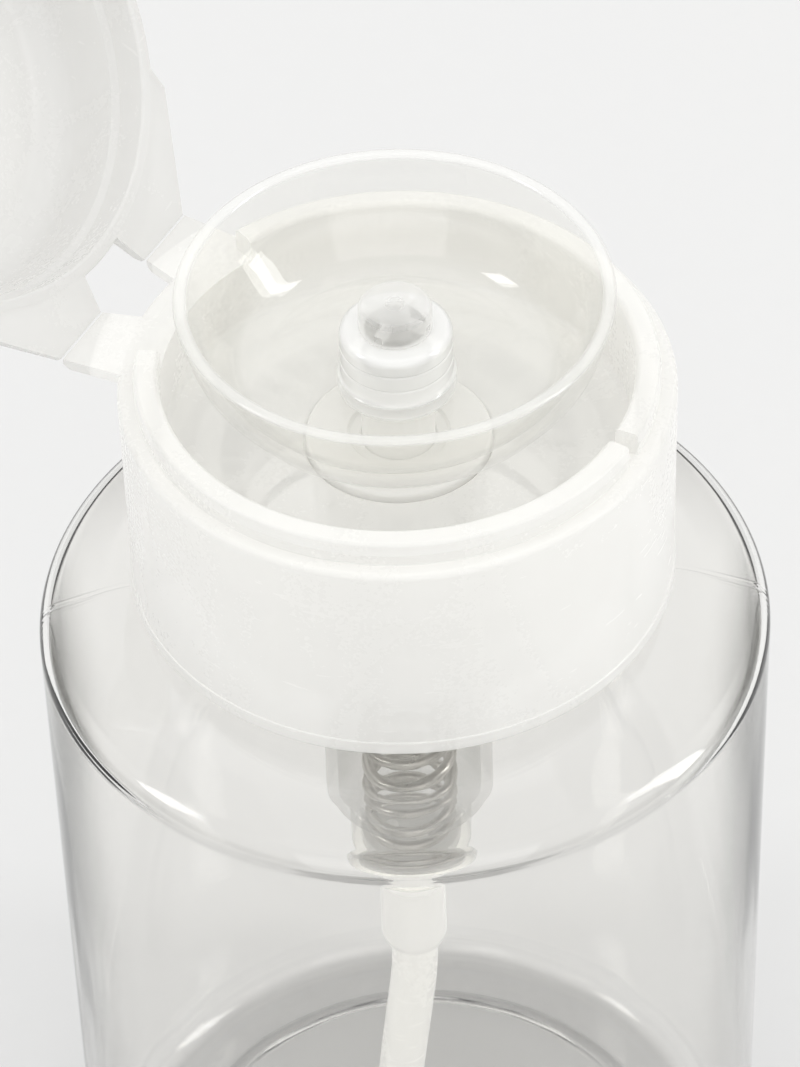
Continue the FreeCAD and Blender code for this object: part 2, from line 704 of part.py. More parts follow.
def makeStem():
    side = radius("stem_diameter")
    bore = radius("stem_bore")
    chamber = VALVE_CHAMBER
    top = cell("stem_length")
    seatTop = less(top, cell("valve_depth"))
    seatFoot = less(seatTop, less(chamber, bore))
    body = revolve("stem", [
        (bore, "0"),
        (side, "0"),
        (side, top),
        (chamber, top),
        (chamber, seatTop),
        (bore, seatFoot),
    ])
    place(body, STEM_FOOT)
    port = newSketch(body, "port_outline", "XZ_Plane")
    half = radius("stem_port")
    level = less(PISTON_FOOT, STEM_FOOT, cell("stem_port_gap"), half)
    polygon(port, [
        (f"-({half})", less(level, half)),
        (half, less(level, half)),
        (half, total(level, half)),
        (f"-({half})", total(level, half)),
    ])
    cut = pocket(body, "port", port, total(side, half), False)
    cut.Midplane = True
    cut.setExpression("Length", f"2 * ({total(side, half)})")


def makeGuide():
    top = total(cell("guide_skirt"), cell("deck_thickness"), cell("guide_rise"))
    seat = cell("guide_skirt")
    bore = total(radius("stem_diameter"), cell("running_fit"))
    skirt = less(radius("housing_bore"), cell("press_fit"))
    side = GUIDE_SIDE
    body = revolve("stem_guide", [
        (bore, "0"), (skirt, "0"), (skirt, seat), (side, seat), (side, top), (bore, top),
    ])
    place(body, GUIDE_FOOT)
    roundEdges(body, "guide_edge", [(side, top)], cell("guide_clearance"))


def makeHousing():
    wideBore = radius("housing_bore")
    wide = total(wideBore, cell("housing_wall"))
    narrowBore = radius("throat_bore")
    narrow = total(narrowBore, cell("throat_wall"))
    tube = total(radius("tube_diameter"), cell("press_fit"))
    socket = total(tube, cell("socket_wall"))
    rim = less(CLOSURE_BORE, cell("flange_clearance"))
    inlet = radius("inlet_bore")
    chamber = INLET_CHAMBER
    coneTop = total(cell("socket_length"), cell("housing_cone"))
    throatTop = total(coneTop, cell("throat_length"))
    barrelFoot = total(throatTop, cell("barrel_taper"))
    flange = total(barrelFoot, cell("barrel_length"))
    top = total(flange, cell("flange_thickness"))
    chamberFoot = less(coneTop, cell("inlet_chamber_depth"))
    seatFoot = less(chamberFoot, less(chamber, inlet))
    body = revolve("pump_housing", [
        (tube, "0"),
        (socket, "0"),
        (socket, cell("socket_length")),
        (narrow, coneTop),
        (narrow, throatTop),
        (wide, barrelFoot),
        (wide, flange),
        (rim, flange),
        (rim, top),
        (wideBore, top),
        (wideBore, barrelFoot),
        (narrowBore, throatTop),
        (narrowBore, coneTop),
        (chamber, coneTop),
        (chamber, chamberFoot),
        (inlet, seatFoot),
        (inlet, cell("tube_insert")),
        (tube, cell("tube_insert")),
    ])
    place(body, HOUSING_FOOT)


def makePiston():
    bore = total(radius("stem_diameter"), cell("press_fit"))
    lip = less(radius("housing_bore"), cell("running_fit"))
    waist = less(lip, cell("piston_relief"))
    height = cell("piston_length")
    band = cell("piston_lip")
    bandEnd = total(band, cell("piston_relief"))
    body = revolve("piston", [
        (bore, "0"),
        (lip, "0"),
        (lip, band),
        (waist, bandEnd),
        (waist, less(height, bandEnd)),
        (lip, less(height, band)),
        (lip, height),
        (bore, height),
    ])
    place(body, PISTON_FOOT)


def makeSpringCup():
    side = SPRING_OUTSIDE
    pilot = less(side, cell("spring_wire"), cell("pilot_clearance"))
    socket = total(radius("stem_diameter"), cell("press_fit"))
    shelf = cell("rod_pilot")
    floor = total(shelf, cell("rod_floor"))
    top = total(floor, cell("rod_cup"))
    body = revolve("spring_cup", [
        ("0", "0"), (pilot, "0"), (pilot, shelf), (side, shelf),
        (side, top), (socket, top), (socket, floor), ("0", floor),
    ])
    place(body, less(CUP_FOOT, cell("rod_pilot")))


def makeRetainer():
    side = less(radius("throat_bore"), cell("press_fit"))
    height = cell("retainer_thickness")
    body = revolve("ball_retainer", [("0", "0"), (side, "0"), (side, height), ("0", height)])
    place(body, THROAT_FOOT)
    outline = newSketch(body, "hole_outline", "XY_Plane")
    centre = FreeCAD.Vector(size(cell("retainer_pitch")), 0, 0)
    hole = Part.Circle(centre, FreeCAD.Vector(0, 0, 1), size(radius("retainer_hole")))
    outline.addGeometry(hole)
    outline.addConstraint(Sketcher.Constraint("PointOnObject", 0, 3, -1))
    bind(outline, cell("retainer_pitch"), "DistanceX", -1, 1, 0, 3)
    bind(outline, radius("retainer_hole"), "Radius", 0)
    cut = pocket(body, "hole", outline, height, True)
    repeatRound(body, "holes", cut, cell("retainer_holes"))


def makeBall(name, seatApex):
    # A ball on a 45 degree seat rests its own radius times the root of two above the cone's apex.
    ball = document.addObject("Part::Sphere", name)
    ball.Label = name
    ball.setExpression("Radius", radius("ball_diameter"))
    lift = f"{radius('ball_diameter')} * sqrt(2)"
    ball.setExpression("Placement.Base.z", total(seatApex, lift, cell("ball_clearance")))
    subParts.append(ball)


def makeBalls():
    outletApex = less(STEM_TOP, cell("valve_depth"), VALVE_CHAMBER)
    makeBall("outlet_ball", outletApex)
    inletApex = less(THROAT_FOOT, cell("inlet_chamber_depth"), INLET_CHAMBER)
    makeBall("inlet_ball", inletApex)


def makeSpring():
    # Active turns between two closed end turns, swept along helices that join end to end.
    wire = size(cell("spring_wire"))
    coil = size(less(SPRING_OUTSIDE, radius("spring_wire")))
    length = size(less(CUP_FOOT, RETAINER_TOP))
    rise = length - wire
    pitch = rise / size(cell("spring_turns"))
    helix = Part.makeHelix(pitch, rise, coil)
    start = FreeCAD.Vector(coil, 0, 0)
    section = Part.Wire([Part.makeCircle(wire / 2, start, FreeCAD.Vector(0, 1, 0))])
    coils = Part.Wire(helix.Edges).makePipeShell([section], True, True)
    spring = document.addObject("Part::Feature", "pump_spring")
    spring.Label = "pump_spring"
    spring.Shape = coils
    spring.Placement.Base = FreeCAD.Vector(0, 0, size(RETAINER_TOP) + wire / 2)
    subParts.append(spring)


def makeDipTube():
    # The route starts at the top of the socket; its own -X is the side that the tube leans to.
    body = newBody("dip_tube")
    lead = total(cell("tube_insert"), cell("tube_lead"))
    floor = total(cell("push_up"), cell("bottle_floor"), cell("tube_foot"))
    drop = less(HOUSING_FOOT, f"-({cell('tube_insert')})", floor)
    lean = f"{cell('tube_lean')} * 1deg"
    bendDrop = f"{cell('tube_bend')} * sin({lean})"
    bendShift = f"{cell('tube_bend')} * (1 - cos({lean}))"
    slantDrop = less(drop, lead, bendDrop)
    shift = total(bendShift, f"({slantDrop}) * tan({lean})")
    route = newSketch(body, "route", "XZ_Plane")
    bendStart = FreeCAD.Vector(0, -size(lead), 0)
    bendEnd = bendStart + FreeCAD.Vector(-size(bendShift), -size(bendDrop), 0)
    foot = FreeCAD.Vector(-size(shift), -size(drop), 0)
    middle = FreeCAD.Vector(-size(cell("tube_bend")), 0, 0) + bendStart
    bend = Part.Circle(middle, FreeCAD.Vector(0, 0, 1), size(cell("tube_bend")))
    turn = math.radians(size(cell("tube_lean")))
    route.addGeometry(Part.LineSegment(FreeCAD.Vector(0, 0, 0), bendStart))
    route.addGeometry(Part.ArcOfCircle(bend, -turn, 0))
    route.addGeometry(Part.LineSegment(bendEnd, foot))
    route.addConstraint(Sketcher.Constraint("Coincident", 0, 1, -1, 1))
    route.addConstraint(Sketcher.Constraint("PointOnObject", 0, 2, -2))
    route.addConstraint(Sketcher.Constraint("Tangent", 0, 2, 1, 2))
    route.addConstraint(Sketcher.Constraint("Tangent", 1, 1, 2, 1))
    bind(route, lead, "DistanceY", 0, 2, 0, 1)
    bind(route, cell("tube_bend"), "Radius", 1)
    bind(route, drop, "DistanceY", 2, 2, -1, 1)
    bind(route, shift, "DistanceX", 2, 2, -1, 1)
    section = newSketch(body, "tube_section", "XY_Plane")
    circle(section, radius("tube_diameter"))
    circle(section, less(radius("tube_diameter"), cell("tube_wall")))
    pipe = body.newObject("PartDesign::AdditivePipe", "tube")
    pipe.Profile = section
    pipe.Spine = (route, ["Edge1", "Edge2", "Edge3"])
    body.Placement.Rotation = FreeCAD.Rotation(FreeCAD.Vector(0, 0, -1), 1)
    body.setExpression("Placement.Rotation.Angle", f"(90 - {cell('tube_heading')}) * 1deg")
    place(body, total(HOUSING_FOOT, cell("tube_insert")))


def checkAll():
    document.recompute()
    for item in document.Objects:
        if "Invalid" in item.State or "Error" in item.State:
            raise RuntimeError(f"{item.Label} failed: {item.State}")
    for item in subParts:
        if item.Shape.isNull() or not item.Shape.isValid():
            raise RuntimeError(f"{item.Label} has no valid shape")
        if len(item.Shape.Solids) != 1:
            raise RuntimeError(f"{item.Label} has {len(item.Shape.Solids)} solids")


def writeAll():
    os.makedirs("parts", exist_ok=True)
    for item in subParts:
        item.Shape.exportStep(os.path.join("parts", item.Label + ".step"))
        print(item.Label, round(item.Shape.Volume, 1))


fillSheet()
makeBottle()
makeGasket()
makeCollar()
makeCap()
makeDish()
makeNozzle()
makeStem()
makeGuide()
makeHousing()
makePiston()
makeSpringCup()
makeRetainer()
makeBalls()
makeSpring()
makeDipTube()
checkAll()
writeAll()
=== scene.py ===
import json
import math

import bmesh
import bpy
from mathutils import Matrix, Vector, noise


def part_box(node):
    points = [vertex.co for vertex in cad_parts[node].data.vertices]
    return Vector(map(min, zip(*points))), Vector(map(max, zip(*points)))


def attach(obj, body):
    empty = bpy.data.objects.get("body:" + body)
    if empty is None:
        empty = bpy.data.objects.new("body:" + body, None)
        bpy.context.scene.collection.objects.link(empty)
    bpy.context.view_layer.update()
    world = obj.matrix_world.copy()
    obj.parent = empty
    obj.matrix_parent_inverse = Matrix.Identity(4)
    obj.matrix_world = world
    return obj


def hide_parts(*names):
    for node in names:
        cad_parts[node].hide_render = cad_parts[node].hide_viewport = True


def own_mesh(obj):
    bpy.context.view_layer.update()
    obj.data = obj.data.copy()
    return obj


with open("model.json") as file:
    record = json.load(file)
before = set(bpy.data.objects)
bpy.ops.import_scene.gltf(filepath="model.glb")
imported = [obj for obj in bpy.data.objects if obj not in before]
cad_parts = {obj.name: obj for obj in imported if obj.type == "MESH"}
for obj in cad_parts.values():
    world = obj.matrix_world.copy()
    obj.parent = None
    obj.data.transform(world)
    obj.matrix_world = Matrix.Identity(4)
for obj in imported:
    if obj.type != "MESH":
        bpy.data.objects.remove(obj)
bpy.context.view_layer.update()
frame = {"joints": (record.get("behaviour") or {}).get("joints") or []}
mm = 0.001


# small mesh helpers

def newObject(name, mesh):
    piece = bpy.data.objects.new(name, mesh)
    bpy.context.scene.collection.objects.link(piece)
    return piece


def meshed(name, build):
    # the faces built so far, as an object
    mesh = bpy.data.meshes.new(name)
    build.to_mesh(mesh)
    build.free()
    return newObject(name, mesh)


def rounded(corners, step=9):
    # corners are (radius, height) or (radius, height, round) in mm; each round becomes an arc
    points = []
    count = len(corners)
    for index, corner in enumerate(corners):
        here = Vector(corner[:2])
        size = corner[2] if len(corner) > 2 else 0
        if not size:
            points.append(tuple(here))
            continue
        back = Vector(corners[index - 1][:2]) - here
        ahead = Vector(corners[(index + 1) % count][:2]) - here
        inner = back.angle(ahead)
        reach = min(size / math.tan(inner / 2), back.length * 0.49, ahead.length * 0.49)
        size = reach * math.tan(inner / 2)
        middle = here + (back.normalized() + ahead.normalized()).normalized() * (size / math.sin(inner / 2))
        first = here + back.normalized() * reach - middle
        last = here + ahead.normalized() * reach - middle
        turn = first.angle_signed(last)
        pieces = max(2, math.ceil(math.degrees(abs(turn)) / step))
        for part in range(pieces + 1):
            spoke = first.copy()
            spoke.rotate(Matrix.Rotation(-turn * part / pieces, 2))
            points.append(tuple(middle + spoke))
    return points


def divided(points, longest):
    # adds points on long straight runs, so that a wobble has something to move
    result = []
    for index, point in enumerate(points):
        following = Vector(points[(index + 1) % len(points)])
        here = Vector(point)
        pieces = max(1, math.ceil((following - here).length / longest))
        if here.x < 1e-6 and following.x < 1e-6:
            pieces = 1
        result += [tuple(here.lerp(following, part / pieces)) for part in range(pieces)]
    return result


def turned(name, points, segments=192, wobble=None, lift=0):
    # a closed half section in mm, anticlockwise seen with the axis on the left, goes round Z
    build = bmesh.new()
    rings = []
    for radius, height in points:
        if radius < 1e-6:
            rings.append([build.verts.new((0, 0, (height + lift) * mm))])
            continue
        ring = []
        for part in range(segments):
            angle = math.tau * part / segments
            r, z = wobble(angle, radius, height) if wobble else (radius, height)
            spot = (r * math.cos(angle) * mm, r * math.sin(angle) * mm, (z + lift) * mm)
            ring.append(build.verts.new(spot))
        rings.append(ring)
    for index, ring in enumerate(rings):
        above = rings[(index + 1) % len(rings)]
        if len(ring) == 1 and len(above) == 1:
            continue
        for part in range(segments):
            following = (part + 1) % segments
            if len(ring) == 1:
                face = (ring[0], above[following], above[part])
            elif len(above) == 1:
                face = (ring[part], ring[following], above[0])
            else:
                face = (ring[part], ring[following], above[following], above[part])
            build.faces.new(face)
    return meshed(name, build)


def layered(name, layers):
    # each layer is (height, corners) in mm with the same number of corners, from the bottom up
    build = bmesh.new()
    loops = []
    for height, corners in layers:
        loops.append([build.verts.new((x * mm, y * mm, height * mm)) for x, y in corners])
    build.faces.new(list(reversed(loops[0])))
    build.faces.new(loops[-1])
    for below, above in zip(loops, loops[1:]):
        for index in range(len(below)):
            following = (index + 1) % len(below)
            build.faces.new((below[index], below[following], above[following], above[index]))
    bmesh.ops.recalc_face_normals(build, faces=build.faces)
    return meshed(name, build)


def evaluated(piece):
    # turns the piece with its modifiers into a plain mesh
    graph = bpy.context.evaluated_depsgraph_get()
    mesh = bpy.data.meshes.new_from_object(piece.evaluated_get(graph))
    piece.modifiers.clear()
    piece.data = mesh
    return piece


def combine(piece, tool, operation):
    step = piece.modifiers.new("combine", "BOOLEAN")
    step.operation = operation
    step.solver = "EXACT"
    step.object = tool
    evaluated(piece)
    bpy.data.objects.remove(tool)


def smooth(piece, angle=32):
    piece.data.shade_smooth()
    piece.data.set_sharp_from_angle(angle=math.radians(angle))
    return piece


def finished(piece, body, material, slot, *replaced):
    piece.data.materials.clear()
    piece.data.materials.append(material)
    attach(piece, body)
    if replaced:
        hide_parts(*replaced)
    print("made", piece.name, len(piece.data.polygons), "faces")


def turnAbout(piece, point, axis, degrees):
    # bakes a turn about a line into the mesh
    spin = Matrix.Rotation(math.radians(degrees), 4, Vector(axis))
    piece.data.transform(Matrix.Translation(point) @ spin @ Matrix.Translation(-point))


# shader helpers

class Wire:
    # a shader socket that can stand in an expression
    def __init__(self, finish, socket):
        self.finish = finish
        self.socket = socket

    def math(self, operation, *others):
        values = {index: other for index, other in enumerate((self, *others))}
        return self.finish.node("ShaderNodeMath", {"operation": operation}, values)

    def __add__(self, other):
        return self.math("ADD", other)

    def __mul__(self, other):
        return self.math("MULTIPLY", other)

    def __sub__(self, other):
        return self.math("SUBTRACT", other)

    def __rsub__(self, other):
        return self.finish.node("ShaderNodeMath", {"operation": "SUBTRACT"}, {0: other, 1: self})

    def __pow__(self, other):
        return self.math("POWER", other)

    def size(self):
        return self.math("ABSOLUTE")

    def band(self, start, end):
        # 0 below start and 1 above end, with soft ends
        values = {"Value": self, "From Min": start, "From Max": end}
        return self.finish.node("ShaderNodeMapRange", {"interpolation_type": "SMOOTHSTEP"}, values)


class Finish:
    # a material under construction
    def __init__(self, name):
        self.material = bpy.data.materials.new(name)
        self.material.use_nodes = True
        self.tree = self.material.node_tree
        self.tree.nodes.clear()
        self.output = self.tree.nodes.new("ShaderNodeOutputMaterial")

    def node(self, kind, settings=None, values=None, output=0):
        made = self.tree.nodes.new(kind)
        for name, value in (settings or {}).items():
            setattr(made, name, value)
        for name, value in (values or {}).items():
            self.feed(made.inputs[name], value)
        return Wire(self, made.outputs[output])

    def feed(self, socket, value):
        if isinstance(value, Wire):
            self.tree.links.new(value.socket, socket)
        else:
            socket.default_value = value

    def place(self):
        return self.node("ShaderNodeTexCoord", output="Object")

    def apart(self, place):
        made = self.node("ShaderNodeSeparateXYZ", None, {"Vector": place}).socket.node
        return [Wire(self, made.outputs[name]) for name in "XYZ"]

    def cloud(self, place, scale, detail=3, roughness=0.5, distortion=0):
        values = {"Vector": place, "Scale": scale, "Detail": detail, "Roughness": roughness,
                  "Distortion": distortion}
        return self.node("ShaderNodeTexNoise", None, values, output="Fac")

    def stretched(self, place, scale):
        return self.node("ShaderNodeMapping", None, {"Vector": place, "Scale": scale})

    def mixed(self, factor, first, second):
        made = self.tree.nodes.new("ShaderNodeMix")
        made.data_type = "RGBA"
        self.feed(made.inputs["Factor"], factor)
        self.feed(made.inputs[6], first)
        self.feed(made.inputs[7], second)
        return Wire(self, made.outputs[2])

    def bump(self, height, distance, strength=1, normal=None):
        values = {"Height": height, "Distance": distance, "Strength": strength}
        if normal:
            values["Normal"] = normal
        return self.node("ShaderNodeBump", None, values)

    def surface(self, values):
        shader = self.node("ShaderNodeBsdfPrincipled", None, values)
        self.feed(self.output.inputs["Surface"], shader)
        return self.material


# finishes

bottleLook = {
    "tint": (0.985, 0.98, 0.965, 1), "scuffTint": (0.955, 0.95, 0.935, 1), "ior": 1.5,
    "roughness": 0.012, "scuffRoughness": 0.16, "wave": 0.00012, "seamHalfWidth": 0.00022,
    "seamHeight": 0.000018, "seamHeading": 119.2, "heelFoot": 0.0004, "heelHeight": 0.004,
    # along is the colour of a painted dark shade at the sides, where the view grazes the wall
    "scratches": 0.12, "haze": 0.012, "along": (0.12, 0.12, 0.11, 1), "sideShadeFrom": 0.62, "sideShadeTo": 0.86,
    "sideShadeFoot": 0.045, "sideShadeTop": 0.058, "sideShadeBelow": 0.4,
}


def bottleFinish():
    # clear blown plastic with a mould seam, fine scratches and a scuffed heel, with a painted dark shade
    # along its sides where the view grazes the wall
    look = bottleLook
    finish = Finish("clearBottlePlastic")
    place = finish.place()
    x, y, z = finish.apart(place)
    heading = math.radians(look["seamHeading"])
    across = (x * math.sin(heading) - y * math.cos(heading)).size()
    seam = 1 - across.band(0, look["seamHalfWidth"])
    swell = finish.cloud(finish.stretched(place, (1, 1, 0.35)), 70, 2)
    speck = finish.cloud(place, 900, 5, 0.6)
    scratch = finish.cloud(finish.stretched(place, (1, 1, 0.06)), 1400, 2).band(0.66, 0.74)
    heel = 1 - z.band(look["heelFoot"], look["heelHeight"])
    scuffed = heel * speck.band(0.45, 0.7) + scratch * look["scratches"]
    haze = finish.cloud(place, 45, 3).band(0.35, 0.8) * look["haze"]
    rough = scuffed * look["scuffRoughness"] + haze + look["roughness"]
    wave = finish.bump(swell, look["wave"], 0.5)
    normal = finish.bump(seam, look["seamHeight"], 1, wave)
    facing = finish.node("ShaderNodeLayerWeight", None, {"Blend": 0.5}, output="Facing")
    tint = finish.mixed(scuffed, look["tint"], look["scuffTint"])
    # painted dark side shade by facing angle, weaker below a height band
    sideShadeByHeight = z.band(look["sideShadeFoot"], look["sideShadeTop"]) * (1 - look["sideShadeBelow"]) + look["sideShadeBelow"]
    along = facing.band(look["sideShadeFrom"], look["sideShadeTo"]) * sideShadeByHeight
    return finish.surface({
        "Base Color": finish.mixed(along, tint, look["along"]), "Roughness": rough, "IOR": look["ior"],
        "Transmission Weight": 1.0, "Normal": normal,
    })


dishLook = {
    "tint": (0.97, 0.97, 0.955, 1), "scuffTint": (0.93, 0.93, 0.915, 1), "edgeShadeTint": (0.74, 0.74, 0.725, 1),
    "pass": (0.985, 0.983, 0.972, 1), "shine": 0.035, "grazing": 0.35, "roughness": 0.02,
    "scuffRoughness": 0.2, "haze": 0.035, "scuffHaze": 0.05, "edgeHaze": 0.42, "edgeFrom": 0.55,
    "edgeShadeFrom": 0.5, "edgeShadeTo": 0.85, "rimHaze": 0.36, "rimLevel": 0.1117, "rimWidth": 0.0004,
    "postHaze": 0.72, "postCore": 0.0044, "postSide": 0.0048, "floorHaze": 0.1, "floorLevel": 0.1034,
    "floorEnd": 0.1052, "ringHeight": 0.000008, "wave": 0.00008,
}


def dishFinish():
    # thin clear plastic: light passes nearly straight, edges gather a milky line, the gloss stays; a painted
    # grey shade darkens the walls where the view grazes them
    look = dishLook
    finish = Finish("clearDishPlastic")
    place = finish.place()
    x, y, z = finish.apart(place)
    radius = (x * x + y * y) ** 0.5
    flow = finish.cloud(place, 60, 2)
    speck = finish.cloud(place, 1500, 4, 0.6)
    angle = y.math("ARCTAN2", x)
    ringPlace = finish.node("ShaderNodeCombineXYZ", None, {"X": radius * 900, "Y": angle * 2, "Z": z * 300})
    ringScratch = finish.cloud(ringPlace, 1, 3).band(0.62, 0.75)
    scuffed = speck.band(0.6, 0.78) * 0.35 + ringScratch * 0.3
    rough = scuffed * look["scuffRoughness"] + look["roughness"]
    normal = finish.bump(ringScratch, look["ringHeight"], 0.5, finish.bump(flow, look["wave"], 0.4))
    facing = finish.node("ShaderNodeLayerWeight", None, {"Blend": 0.5}, output="Facing")
    rim = z.band(look["rimLevel"] - look["rimWidth"], look["rimLevel"])
    post = 1 - radius.band(look["postCore"], look["postSide"])
    floor = 1 - z.band(look["floorLevel"], look["floorEnd"])
    # painted grey shade on the walls seen at a grazing angle, kept off the rim
    edgeShade = facing.band(look["edgeShadeFrom"], look["edgeShadeTo"]) * (1 - rim)
    haze = facing.band(look["edgeFrom"], 1.0) * look["edgeHaze"] + scuffed * look["scuffHaze"] + look["haze"]
    haze = haze + rim * look["rimHaze"] + post * look["postHaze"] + floor * look["floorHaze"]
    shine = facing ** 5 * look["grazing"] + look["shine"]
    tint = finish.mixed(scuffed, look["tint"], look["scuffTint"])
    passing = finish.node("ShaderNodeBsdfTransparent", None, {"Color": look["pass"]})
    gloss = finish.node("ShaderNodeBsdfPrincipled", None, {
        "Base Color": (1, 1, 1, 1), "Metallic": 1.0, "Roughness": rough, "Normal": normal})
    body = finish.node("ShaderNodeBsdfPrincipled", None, {
        "Base Color": finish.mixed(edgeShade, tint, look["edgeShadeTint"]), "Roughness": rough, "Normal": normal})
    clear = finish.node("ShaderNodeMixShader", None, {0: haze, 1: passing, 2: body})
    shown = finish.node("ShaderNodeMixShader", None, {0: shine, 1: clear, 2: gloss})
    finish.feed(finish.output.inputs["Surface"], shown)
    return finish.material


def milkyFinish(name, look):
    # translucent moulded plastic: part of the light passes straight on, the rest is scattered; the emission
    # is a painted glow, standing in for light scattered inside the plastic
    finish = Finish(name)
    place = finish.place()
    x, y, z = finish.apart(place)
    radius = (x * x + y * y) ** 0.5
    flow = finish.cloud(finish.stretched(place, (1, 1, 0.5)), 120, 4, 0.55, 0.6)
    grain = finish.cloud(place, 2600, 3, 0.7)
    mark = finish.cloud(finish.stretched(place, (0.15, 0.15, 1)), 1700, 2).band(0.67, 0.76)
    colour = finish.mixed(flow.band(0.3, 0.75), look["tint"], look["cloud"])
    colour = finish.mixed(mark * look["marks"], colour, look["scuff"])
    rough = flow * look["flowRoughness"] + grain * look["grainRoughness"] + mark * look["markRoughness"]
    edge = finish.node("ShaderNodeLayerWeight", None, {"Blend": look["edge"]}, output="Facing")
    # below the dense height the plastic is more opaque and takes the full painted glow
    denseAndGlowing = 1 - z.band(look["denseAndGlowBelow"] - 0.001, look["denseAndGlowBelow"])
    inside = 1 - radius.band(look["glowRadius"] - 0.0003, look["glowRadius"])
    body = edge * (look["edgeBody"] - look["body"]) + look["body"] + denseAndGlowing * look["denseBody"]
    return finish.surface({
        "Base Color": colour, "Roughness": rough + look["roughness"], "IOR": look["ior"],
        "Alpha": body + flow * look["flowBody"] - look["flowBody"] / 2,
        # painted glow: emission on plastic that is no lamp, full below the dense height and within the glow
        # radius
        "Emission Color": finish.mixed(denseAndGlowing + inside, look["glow"], look["fullGlow"]),
        "Emission Strength": look["inner"], "Normal": finish.bump(grain, look["grain"], 0.35),
    })


milkyLook = {
    # inner is the strength of a painted glow, emission standing in for light scattered inside the plastic;
    # the full glow colour holds below the dense height and within the glow radius, both in metres
    "tint": (0.87, 0.865, 0.84, 1), "cloud": (0.857, 0.852, 0.827, 1), "scuff": (0.89, 0.885, 0.865, 1),
    "roughness": 0.2, "ior": 1.49, "grain": 0.0000012, "marks": 0.04, "flowRoughness": 0.1,
    "grainRoughness": 0.04, "markRoughness": 0.03, "flowBody": 0.03, "body": 0.55, "edgeBody": 0.9,
    "edge": 0.35, "denseAndGlowBelow": 0.0, "denseBody": 0.0, "glowRadius": 0.0, "inner": 0.07,
    "glow": (0.87, 0.865, 0.84, 1), "fullGlow": (0.87, 0.865, 0.84, 1),
}
# all of the collar is within its glow radius but the ends of the hinge straps, so nearly all of it carries
# the full painted glow
collarLook = dict(
    milkyLook, inner=0.17, glow=(0.08, 0.08, 0.075, 1), fullGlow=(0.66, 0.655, 0.64, 1), glowRadius=0.0245,
)
capLook = dict(milkyLook, tint=(0.82, 0.815, 0.795, 1), cloud=(0.805, 0.8, 0.78, 1), inner=0.04)
nozzleLook = dict(milkyLook, body=0.2, edgeBody=0.75, roughness=0.06, inner=0.06)
# the housing is clearer above its tube socket, and below it denser with the full painted glow
housingLook = dict(
    milkyLook, body=0.08, edgeBody=0.5, roughness=0.1, denseAndGlowBelow=0.0482, denseBody=0.75, inner=0.3,
    glow=(0.03, 0.03, 0.028, 1),
)
innerLook = dict(milkyLook, body=0.85, edgeBody=0.95, roughness=0.28)
tubeLook = dict(milkyLook, body=0.7, edgeBody=0.95, roughness=0.2, inner=0.3)


steelLook = {
    "bright": (0.62, 0.6, 0.56, 1), "dull": (0.36, 0.34, 0.31, 1), "roughness": 0.2, "drawnRoughness": 0.2,
    "drawnHeight": 0.000008,
}
foamLook = {
    "pale": (0.9, 0.9, 0.87, 1), "shaded": (0.82, 0.82, 0.79, 1), "roughness": 0.75, "toneRoughness": 0.1,
    "cellHeight": 0.00008,
}


def steelFinish():
    finish = Finish("drawnSteel")
    place = finish.place()
    drawn = finish.cloud(finish.stretched(place, (1, 1, 3)), 1800, 4, 0.6)
    stain = finish.cloud(place, 350, 3).band(0.4, 0.75)
    return finish.surface({
        "Base Color": finish.mixed(stain, steelLook["bright"], steelLook["dull"]),
        "Metallic": 1.0, "Roughness": drawn * steelLook["drawnRoughness"] + steelLook["roughness"],
        "Normal": finish.bump(drawn, steelLook["drawnHeight"], 0.4),
    })


def foamFinish():
    finish = Finish("closedFoam")
    place = finish.place()
    cells = finish.node("ShaderNodeTexVoronoi", None, {"Vector": place, "Scale": 2600}, output="Distance")
    tone = finish.cloud(place, 200, 4)
    return finish.surface({
        "Base Color": finish.mixed(tone, foamLook["pale"], foamLook["shaded"]),
        "Roughness": tone * foamLook["toneRoughness"] + foamLook["roughness"],
        "Normal": finish.bump(cells, foamLook["cellHeight"], 0.6),
    })


bottlePlastic = bottleFinish()
dishPlastic = dishFinish()
collarPlastic = milkyFinish("milkyPolypropylene", collarLook)
capPlastic = milkyFinish("milkyCapPolypropylene", capLook)
nozzlePlastic = milkyFinish("clearMilkyPolypropylene", nozzleLook)
housingPlastic = milkyFinish("housingPolypropylene", housingLook)
innerPlastic = milkyFinish("whitePolypropylene", innerLook)
tubePlastic = milkyFinish("tubePolyethylene", tubeLook)
steel = steelFinish()
foam = foamFinish()
print("finishes ready")


# levels that the pieces share, in mm, from the frame

def low(node):
    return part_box(node)[0] / mm


def high(node):
    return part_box(node)[1] / mm


neckTop = high("bottle").z
skirtFoot = low("collar").z
ledge = skirtFoot + 19.5
hingeJoint = next(joint for joint in frame["joints"] if joint["name"] == "cap_hinge")
foldPoint = Vector(hingeJoint["pos_m"])
openAngle = -hingeJoint["range_deg"][0]
foldReach = foldPoint.y / mm


# bottle

bottleSize = {
    "wall": 0.9, "floor": 1.2, "pushUp": 2.6, "footRadius": 23.5, "footSlope": 3.0, "heelRound": 3.4,
    "shoulder": 78.1, "rise": 3.9, "crownRadius": 23.0, "crownRise": 2.7, "crownRound": 12.0,
    "shoulderRound": 2.6, "neckRadius": 15.0, "neckWall": 1.8, "neckRound": 1.2, "lipRound": 0.3,
    "recessRound": 1.5, "footRound": 0.8, "boreRound": 1.5, "unevenness": 0.16, "longest": 2.5,
}


